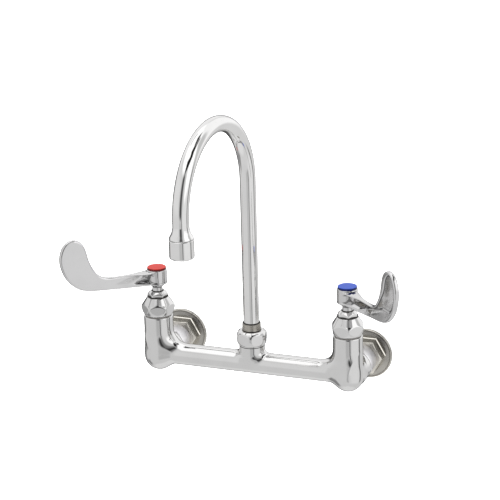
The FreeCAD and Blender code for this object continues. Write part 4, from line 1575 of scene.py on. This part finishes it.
    def thread(self, label: str) -> bpy.types.Object:
        """The supply's pipe thread, a ridge that climbs round the hole.

        Args:
            label: The start of the piece's name.

        Returns:
            The new object.
        """
        shape = Shape(label + "_pipe_thread", ROUGH_NICKEL.material())
        radius = shape.size("Radius", (self.pipe_radius - self.thread_inset) * MM)
        depth = shape.size("Depth", self.thread_depth * MM)
        turns = shape.size("Turns", self.thread_turns)
        ridge = shape.size("Ridge", self.thread_ridge * MM)
        steps = shape.size("Steps", 48)
        spiral = shape.node("GeometryNodeCurveSpiral", {}, {
            "Resolution": steps, "Rotations": turns, "Start Radius": radius, "End Radius": radius,
            "Height": depth})
        swept = shape.swept(spiral.outputs[0], ridge, 4)
        placed = shape.node("GeometryNodeTransform", {}, {
            "Geometry": swept, "Translation": (self.side.valve_x * MM, self.thread_start * MM, 0.0),
            "Rotation": (math.pi / 2, 0.0, 0.0)})
        return shape.finish(placed.outputs[0], smooth=False)


@dataclass
class SpoutFoot:
    """The nut that holds the spout down, and the collar that turns in it."""

    nut_flats: float = 28.8
    nut_ball: float = 15.7
    ball_height: float = 28.8
    nut_foot: float = 21.5
    nut_top: float = 36.0
    nut_turn: float = -77.0
    nut_bore: float = 11.75
    nut_ceiling: float = 28.8
    nut_shelf: float = 28.9
    collar_radius: float = 9.3
    collar_top: float = 43.6
    tail_radius: float = 9.85
    tail_ends: tuple = (8.2, 30.8)
    boss_groove: float = 20.2
    # Bore, rim and half height of the near-black rings of painted shade at the nut's foot and in the boss's
    # groove.
    seam: tuple = (12.0, 12.86, 0.2)

    def build(self) -> None:
        """Builds, dresses and seats the nut and the collar."""
        axis = Axis(0.0, -WALL_GAP)
        hexagon = Hexagon(self.nut_flats, math.radians(self.nut_turn), 0.4, 0.35)
        nut = Lathe(axis, 336, hexagon).turn("spout_nut_dome", self.nut_profile(), CHROME)
        seat(nut, Body.FAUCET, "chrome", "spout_nut")
        collar = Lathe(axis, 160).turn("spout_collar", self.collar_profile(), WARM_NICKEL)
        seat(collar, Body.SPOUT, "nickel", "spout_swivel")
        low, top, radius = self.nut_top + 0.02, self.collar_top, self.collar_radius
        # Painted shade: near-black rings above the nut, where the tube enters the collar, at the nut's foot
        # and in the boss's groove.
        add_gap_shade(axis, "collar_groove", Body.SPOUT, radius - 1, radius + 0.04, low, low + 0.55)
        add_gap_shade(axis, "collar_seam", Body.SPOUT, 7.9, 8.9, top - 0.3, top + 0.6)
        bore, rim, half = self.seam
        for label, height in (("nut_seam", self.nut_foot), ("boss_groove", self.boss_groove)):
            add_gap_shade(axis, label, Body.FAUCET, bore, rim, height - half, height + half)

    def nut_profile(self) -> np.ndarray:
        """The nut's round belly between a narrow foot and a rolled crown.

        Returns:
            One row of radius and height for each ring.
        """
        top, bore, inner = self.nut_top, self.nut_bore, self.collar_radius
        heights = np.linspace(self.nut_foot + 1.3, top - 3.4, 32)
        belly = np.sqrt(self.nut_ball ** 2 - (heights - self.ball_height) ** 2)
        low, ceiling = self.nut_foot + 0.05, self.nut_ceiling
        foot = rounded([(bore, ceiling, 0), (bore, low, 0.2), (belly[0] - 1.2, low, 0),
                        (belly[0] - 0.3, low + 0.65, 0)], 0.9)
        crown = rounded([(belly[-1] - 0.3, top - 2.9, 0), (belly[-1] - 1.5, top - 1.2, 1.2),
                         (inner + 2.4, top, 0.8), (inner + 0.5, top, 0.25), (inner + 0.08, top - 0.5, 0),
                         (inner + 0.08, self.nut_shelf, 0), (bore, ceiling, 0)], 0.6)
        return np.vstack([foot, np.stack([belly, heights], axis=1), crown])

    def collar_profile(self) -> np.ndarray:
        """The swivel collar: a plain band between two fine grooves, over its tail.

        Returns:
            One row of radius and height for each ring.
        """
        top, radius, tail, (foot, end) = self.collar_top, self.collar_radius, self.tail_radius, self.tail_ends
        groove = self.nut_top - 0.3
        return rounded([(0, foot, 0), (tail, foot, 0.2), (tail, end, 0), (radius, end + 0.2, 0),
                        (radius, groove, 0.1), (radius - 0.3, groove + 0.2, 0.1),
                        (radius - 0.3, groove + 0.6, 0.1), (radius, groove + 0.8, 0.1),
                        (radius, top - 1.7, 0.1), (radius - 0.22, top - 1.5, 0.1),
                        (radius - 0.22, top - 1.2, 0.1), (radius, top - 1.0, 0.1), (radius, top - 0.3, 0.2),
                        (radius - 0.7, top, 0.2), (8.0, top, 0), (7.0, top - 0.6, 0), (0, top - 0.6, 0)], 0.7)


@dataclass
class Gooseneck:
    """The bent tube with its outlet: brazed cone, smooth sleeve and regulator."""

    radius: float = 7.94
    foot: float = 8.0
    spring: float = 191.5
    reach: float = 146.3
    tube_end: float = 168.2
    tube_rings: int = 280
    tube_segments: int = 96
    outlet_radius: float = 11.85
    outlet_foot: float = 156.3
    outlet_top: float = 174.8
    plug_radius: float = 10.3
    plug_foot: float = 162.4
    sleeve_bore: float = 10.45
    cone_top: float = 187.0
    lip_hole: float = 9.3
    lip_height: float = 1.6
    flare_line: tuple = ((0.98, 0.7), (0.90, 2.0), (0.66, 3.7), (0.42, 5.4), (0.26, 7.4), (0.13, 9.8))
    rim_pitch: float = 2.6
    rim_radius: float = 0.86
    rim_wire: float = 0.14
    rim_rings: int = 3

    def build(self) -> None:
        """Builds, dresses and seats the spout's pieces."""
        seat(self.tube(), Body.SPOUT, "chrome", "spout_tube")
        away = self.reach
        axis = Axis(away * math.sin(SPOUT_TURN), -WALL_GAP - away * math.cos(SPOUT_TURN))
        cone = Lathe(axis, 144).turn("outlet_cone", self.cone_profile(), TUBE_CHROME)
        seat(cone, Body.SPOUT, "chrome", "outlet_adapter")
        sleeve = Lathe(axis, 160).turn("outlet_band", self.sleeve_profile(), TUBE_CHROME)
        seat(sleeve, Body.SPOUT, "chrome", "outlet_sleeve")
        seat(self.rims(axis), Body.SPOUT, "acetal")

    def tube(self) -> bpy.types.Object:
        """The tube swept along two straight runs and a half circle.

        Returns:
            The new object.
        """
        shape = Shape("gooseneck_tube", TUBE_CHROME.material())
        radius = shape.size("Radius", self.radius * MM)
        foot = shape.size("Foot", self.foot * MM)
        spring = shape.size("Spring height", self.spring * MM)
        reach = shape.size("Reach", self.reach * MM)
        end = shape.size("End height", self.tube_end * MM)
        count = shape.size("Rings", self.tube_rings)
        around = shape.size("Segments", self.tube_segments)
        bend = reach / 2
        rise = spring - foot
        drop = spring - end
        length = rise + bend * math.pi + drop
        line = shape.node("GeometryNodeMeshLine", {}, {"Count": count, "Offset": (0.0, 0.0, 0.001)})
        index = shape.signal("GeometryNodeInputIndex", 0)
        travel = index / (count - 1) * length
        climbed = travel.at_most(rise)
        angle = ((travel - rise) / bend).at_least(0.0).at_most(math.pi)
        fallen = (travel - rise - bend * math.pi).at_least(0.0)
        forward = bend * (1 - angle.cosine())
        x = forward * math.sin(SPOUT_TURN)
        y = forward * -math.cos(SPOUT_TURN) - WALL_GAP * MM
        z = foot + climbed + bend * angle.sine() - fallen
        placed = shape.node("GeometryNodeSetPosition", {}, {"Geometry": line.outputs[0],
                                                            "Position": shape.vector(x, y, z)})
        path = shape.node("GeometryNodeMeshToCurve", {}, {"Mesh": placed.outputs[0]})
        return shape.finish(shape.swept(path.outputs[0], radius, around))

    def cone_profile(self) -> np.ndarray:
        """The cone that flares from the tube to a soft shoulder.

        Returns:
            One row of radius and height for each ring.
        """
        low, high, wide, tube = self.outlet_top + 0.25, self.cone_top, self.outlet_radius, self.radius
        flare = [(share * (wide - tube) + tube - 0.2, low + rise, 6.0) for share, rise in self.flare_line]
        return rounded([(0, self.plug_foot, 0), (self.plug_radius, self.plug_foot, 0.2),
                        (self.plug_radius, low, 0), (wide - 0.6, low, 0.3), *flare,
                        (tube + 0.02, high - 0.1, 0), (tube - 0.3, high, 0), (0, high - 0.4, 0)], 0.4)

    def sleeve_profile(self) -> np.ndarray:
        """The smooth sleeve: rolled foot, plain band and an open mouth.

        Returns:
            One row of radius and height for each ring.
        """
        low, high, radius, bore = self.outlet_foot, self.outlet_top, self.outlet_radius, self.sleeve_bore
        hole, lip = self.lip_hole, low + self.lip_height
        return rounded([(bore, high - 0.4, 0), (bore + 0.35, high, 0.1), (radius - 0.35, high, 0.15),
                        (radius, high - 0.4, 0.2), (radius, low + 2.0, 0.1), (radius - 0.6, low + 0.7, 0.9),
                        (radius - 2.0, low, 0.6), (hole + 0.2, low, 0.2), (hole, low + 0.3, 0.2),
                        (hole, lip, 0), (bore, lip, 0), (bore, high - 0.4, 0)], 0.5)

    def rims(self, axis: Axis) -> bpy.types.Object:
        """A raised rim round each hole of the stream regulator, in rings round the middle one.

        Args:
            axis: The outlet's axis.

        Returns:
            The new object.
        """
        shape = Shape("regulator_rims", ACETAL.material())
        pitch = shape.size("Pitch", self.rim_pitch * MM)
        hole = shape.size("Hole radius", self.rim_radius * MM)
        wire = shape.size("Wire radius", self.rim_wire * MM)
        loop = shape.node("GeometryNodeCurvePrimitiveCircle", {}, {"Resolution": 16, "Radius": hole})
        rim = shape.swept(loop.outputs[0], wire, 6, capped=False)
        join = shape.node("GeometryNodeJoinGeometry")
        for ring in range(1, self.rim_rings + 1):
            spots = shape.node("GeometryNodeMeshCircle", {}, {"Vertices": 6 * ring, "Radius": pitch * ring})
            placed = shape.node("GeometryNodeInstanceOnPoints", {}, {"Points": spots.outputs[0],
                                                                     "Instance": rim})
            shape.tree.links.new(placed.outputs[0], join.inputs[0])
        shape.tree.links.new(rim, join.inputs[0])
        low = (self.outlet_foot + self.lip_height - 0.05) * MM
        moved = shape.node("GeometryNodeTransform", {}, {
            "Geometry": join.outputs[0], "Translation": (axis.x * MM, axis.y * MM, low)})
        return shape.finish(moved.outputs[0])


def seat(piece: bpy.types.Object, body: Body, slot: str, *nodes: str) -> None:
    """Makes a piece ride on a body and hides the nodes that it stands for.

    Args:
        piece: The piece.
        body: The body that carries it.
        slot: Not used.
        nodes: The CAD nodes that it stands for.
    """
    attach(piece, body.value)
    if nodes:
        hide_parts(*nodes)
    log.info("%s: %d faces on %s", piece.name, len(piece.data.polygons), body.value)


@dataclass(frozen=True)
class InnerPieces:
    """The finishes of the CAD nodes that keep their own shape."""

    finishes: tuple[tuple[str, Finish], ...] = (
        ("valve_seat", BRASS), ("seat_washer", RUBBER), ("washer_screw", BRASS), ("plunger", BRASS),
        ("stem", BRASS), ("bonnet_gasket", FIBRE), ("packing_gland", BRASS), ("packing", PACKING),
        ("handle_screw", STEEL), ("inlet_washer", FIBRE), ("spout_bearing", ACETAL),
        ("swivel_rings", RUBBER), ("stream_regulator", ACETAL), ("outlet_washer", RUBBER),
        ("body_casting", CAST_CHROME), ("bonnet", CHROME), ("packing_nut", CHROME), ("handle", BLADE_CHROME),
        ("index_button", ACETAL), ("inlet_adapter", ROUGH_NICKEL), ("inlet_locknut", LIT_SATIN_CHROME),
        ("spout_nut", CHROME), ("spout_swivel", WARM_NICKEL), ("spout_tube", TUBE_CHROME),
        ("outlet_adapter", TUBE_CHROME), ("outlet_sleeve", TUBE_CHROME))

    def dress(self, nodes: dict[str, bpy.types.Object]) -> None:
        """Gives every CAD node its finish.

        Args:
            nodes: The CAD nodes' objects.
        """
        table = dict(self.finishes)
        for name, node in nodes.items():
            plain = name.removeprefix("hot_").removeprefix("cold_")
            node.data.materials.clear()
            node.data.materials.append(table[plain].material())
        log.info("%d frame nodes dressed", len(nodes))


# Studio


@dataclass(frozen=True)
class Patch:
    """One bright or dark area round the object, by azimuth from the front and elevation, in degrees."""

    azimuth: tuple[float, float]
    elevation: tuple[float, float]
    radiance: float
    soft: tuple[float, float] = (8.0, 8.0)


@dataclass(frozen=True)
class Studio:
    """A pale floor, soft lamps and the surroundings that the chrome mirrors."""

    floor_level: float = -0.38
    floor_size: float = 8.0
    floor_glow: float = 0.75
    floor_tints: tuple[float, float] = (0.90, 0.93)
    lamp_target: tuple[float, float, float] = (0.0, -0.1, 0.1)
    lamps: tuple = (("overhead_lamp", (0.0, -0.2, 1.6), 1.8, 22.0),
                    ("left_lamp", (-1.5, -1.2, 0.9), 1.2, 10.0),
                    ("right_lamp", (1.6, -0.9, 0.7), 1.0, 8.0))
    plain_radiance: float = 0.81
    far_side: tuple[float, float, float] = (-0.470, 0.810, -0.350)
    far_spread: tuple[float, float] = (20.0, 38.0)
    far_radiance: float = 0.10
    patches: tuple[Patch, ...] = (
        Patch((-180, 180), (-90, -66), 0.95, (8, 6)),
        Patch((-180, 180), (48, 90), 1.50, (8, 8)),
        Patch((-178, -96), (12, 50), 1.08, (8, 8)),
        Patch((-96, -10), (-6, 38), 0.92, (8, 8)),
        Patch((46, 104), (-40, 0), 0.95, (6, 8)),
        Patch((58, 104), (2, 58), 1.45, (6, 8)),
        Patch((128, 178), (-8, 60), 1.20, (8, 8)),
        Patch((4, 38), (-10, 44), 0.24, (7, 6)),
        Patch((14, 26), (-12, 44), 0.05, (4, 5)),
        Patch((2, 40), (-34, -14), 0.62, (6, 5)),
        Patch((31, 36), (-34, -8), 0.08, (2, 5)),
        Patch((80, 120), (52, 62), 0.20, (6, 3)),
        Patch((16, 84), (45, 64), 0.02, (6, 3)),
        Patch((50, 96), (52, 74), 0.02, (6, 3)),
        Patch((90, 150), (62, 78), 0.05, (8, 4)),
        Patch((110, 121), (-34, 4), 0.16, (3, 6)),
        Patch((106, 128), (8, 40), 0.70, (6, 8)),
        Patch((-134, -112), (-36, 6), 0.06, (5, 5)),
        Patch((-112, -98), (-34, 6), 0.42, (4, 6)),
        Patch((-108, -64), (-56, -30), 0.32, (6, 6)),
        Patch((166, 174), (-28, -8), 0.30, (3, 6)),
        Patch((-142, -98), (60, 65), 0.25, (5, 2)))

    def build(self) -> None:
        """Builds the floor, the surroundings and the lamps."""
        self.floor()
        self.surroundings()
        for name, place, size, power in self.lamps:
            self.lamp(name, place, size, power)

    def floor(self) -> None:
        """A plain pale floor well below the faucet."""
        form = bmesh.new()
        bmesh.ops.create_grid(form, x_segments=8, y_segments=8, size=self.floor_size,
                              matrix=Matrix.Translation((0, 0, self.floor_level)))
        mesh = bpy.data.meshes.new("floor")
        form.to_mesh(mesh)
        form.free()
        floor = bpy.data.objects.new("floor", mesh)
        bpy.context.scene.collection.objects.link(floor)
        made = bpy.data.materials.new("pale_floor")
        made.use_nodes = True
        made.node_tree.nodes.clear()
        recipe = Recipe(made.node_tree)
        place = recipe.node("ShaderNodeTexCoord").outputs["Object"]
        grain = recipe.signal("ShaderNodeTexNoise", 0, {}, {"Vector": place, "Scale": 3.0, "Detail": 4.0})
        low, high = self.floor_tints
        tint = recipe.mix(grain, (low, low, low, 1), (high, high, high, 1))
        shader = recipe.node("ShaderNodeBsdfPrincipled", {}, {
            "Base Color": tint, "Roughness": 0.9, "Emission Color": (1, 1, 1, 1),
            "Emission Strength": self.floor_glow})
        recipe.node("ShaderNodeOutputMaterial", {}, {"Surface": shader.outputs[0]})
        mesh.materials.append(made)
        floor.visible_glossy = False

    def surroundings(self) -> None:
        """The world: plain white to the camera, and soft bright and dark areas to the chrome."""
        world = bpy.data.worlds.new("studio")
        bpy.context.scene.world = world
        world.use_nodes = True
        world.node_tree.nodes.clear()
        recipe = Recipe(world.node_tree)
        place = recipe.node("ShaderNodeTexCoord").outputs["Generated"]
        x, y, z = recipe.parts(place)
        degrees = 180 / math.pi
        azimuth = recipe.signal("ShaderNodeMath", 0, {"operation": "ARCTAN2"}, {0: x, 1: y * -1}) * degrees
        elevation = recipe.signal("ShaderNodeMath", 0, {"operation": "ARCSINE"}, {0: z}) * degrees
        level: Any = self.plain_radiance
        for patch in self.patches:
            mask = elevation.within(*patch.elevation, patch.soft[1])
            if patch.azimuth[1] - patch.azimuth[0] < 359:
                mask = mask * azimuth.within(*patch.azimuth, patch.soft[0])
            level = mask * (patch.radiance - level) + level
        towards = x * self.far_side[0] + y * self.far_side[1] + z * self.far_side[2]
        inner, outer = (math.cos(math.radians(angle)) for angle in self.far_spread)
        mask = towards.step(outer, inner)
        level = mask * (self.far_radiance - level) + level
        glow = recipe.node("ShaderNodeBackground", {}, {"Color": (1, 1, 1, 1), "Strength": level})
        plain = recipe.node("ShaderNodeBackground", {}, {"Color": (1, 1, 1, 1), "Strength": 1.0})
        ray = recipe.node("ShaderNodeLightPath").outputs["Is Camera Ray"]
        both = recipe.node("ShaderNodeMixShader", {}, {0: ray, 1: glow.outputs[0], 2: plain.outputs[0]})
        recipe.node("ShaderNodeOutputWorld", {}, {"Surface": both.outputs[0]})

    def lamp(self, name: str, place: tuple[float, float, float], size: float, power: float) -> None:
        """Adds one square soft lamp that points at the object.

        Args:
            name: The lamp's name.
            place: Where it stands.
            size: Its width.
            power: Its power.
        """
        light = bpy.data.lights.new(name, "AREA")
        light.shape = "SQUARE"
        light.size = size
        light.energy = power
        lamp = bpy.data.objects.new(name, light)
        back = Vector(place) - Vector(self.lamp_target)
        lamp.matrix_world = Matrix.Translation(place) @ back.to_track_quat("Z", "Y").to_matrix().to_4x4()
        lamp.visible_glossy = False
        bpy.context.scene.collection.objects.link(lamp)


@dataclass(frozen=True)
class Photographer:
    """The camera at the photograph's angle: turned, tilted and slightly rolled."""

    azimuth: float = 21.734
    elevation: float = 18.046
    roll: float = -1.535
    distance: float = 2056.1
    focal_pixels: float = 2041.4
    shift_x: float = -2.954
    shift_z: float = 113.438
    sensor: float = 36.0
    picture: float = 500.0
    aim: tuple[float, float, float] = (0.0, -62.0, 0.0)

    def build(self) -> None:
        """Places the camera and sets the plain colour management."""
        turn, tilt, roll = (math.radians(angle) for angle in (self.azimuth, self.elevation, self.roll))
        back = Vector((math.sin(turn) * math.cos(tilt), -math.cos(turn) * math.cos(tilt), math.sin(tilt)))
        right = (-back).cross(Vector((0, 0, 1))).normalized()
        up = right.cross(-back)
        side = right * math.cos(roll) + up * math.sin(roll)
        top = up * math.cos(roll) - right * math.sin(roll)
        place = (Vector(self.aim) + back * self.distance + side * self.shift_x + top * self.shift_z) * MM
        data = bpy.data.cameras.new("camera")
        data.sensor_width = self.sensor
        data.lens = self.focal_pixels / self.picture * self.sensor
        data.clip_end = 50.0
        camera = bpy.data.objects.new("camera", data)
        camera.matrix_world = Matrix.Translation(place) @ Matrix((side, top, back)).transposed().to_4x4()
        bpy.context.scene.collection.objects.link(camera)
        bpy.context.scene.camera = camera
        bpy.context.scene.view_settings.view_transform = "Standard"


def main() -> None:
    """Builds the whole scene in order."""
    logging.basicConfig(level=logging.INFO, format="%(name)s %(message)s", stream=sys.stdout)
    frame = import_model()
    Photographer().build()
    Studio().build()
    InnerPieces().dress(frame["nodes"])
    seat(Casting().build(), Body.FAUCET, "chrome", "body_casting")
    for side, handle in WristHandle().build():
        seat(handle, side.control, "chrome", side.label + "_handle")
    for side, bonnet_turn in ((Side.HOT, -38.0), (Side.COLD, -68.0)):
        ValveTop(side, bonnet_turn).build()
        WallInlet(side).build()
    SpoutFoot().build()
    Gooseneck().build()


if __name__ == "__main__":
    main()
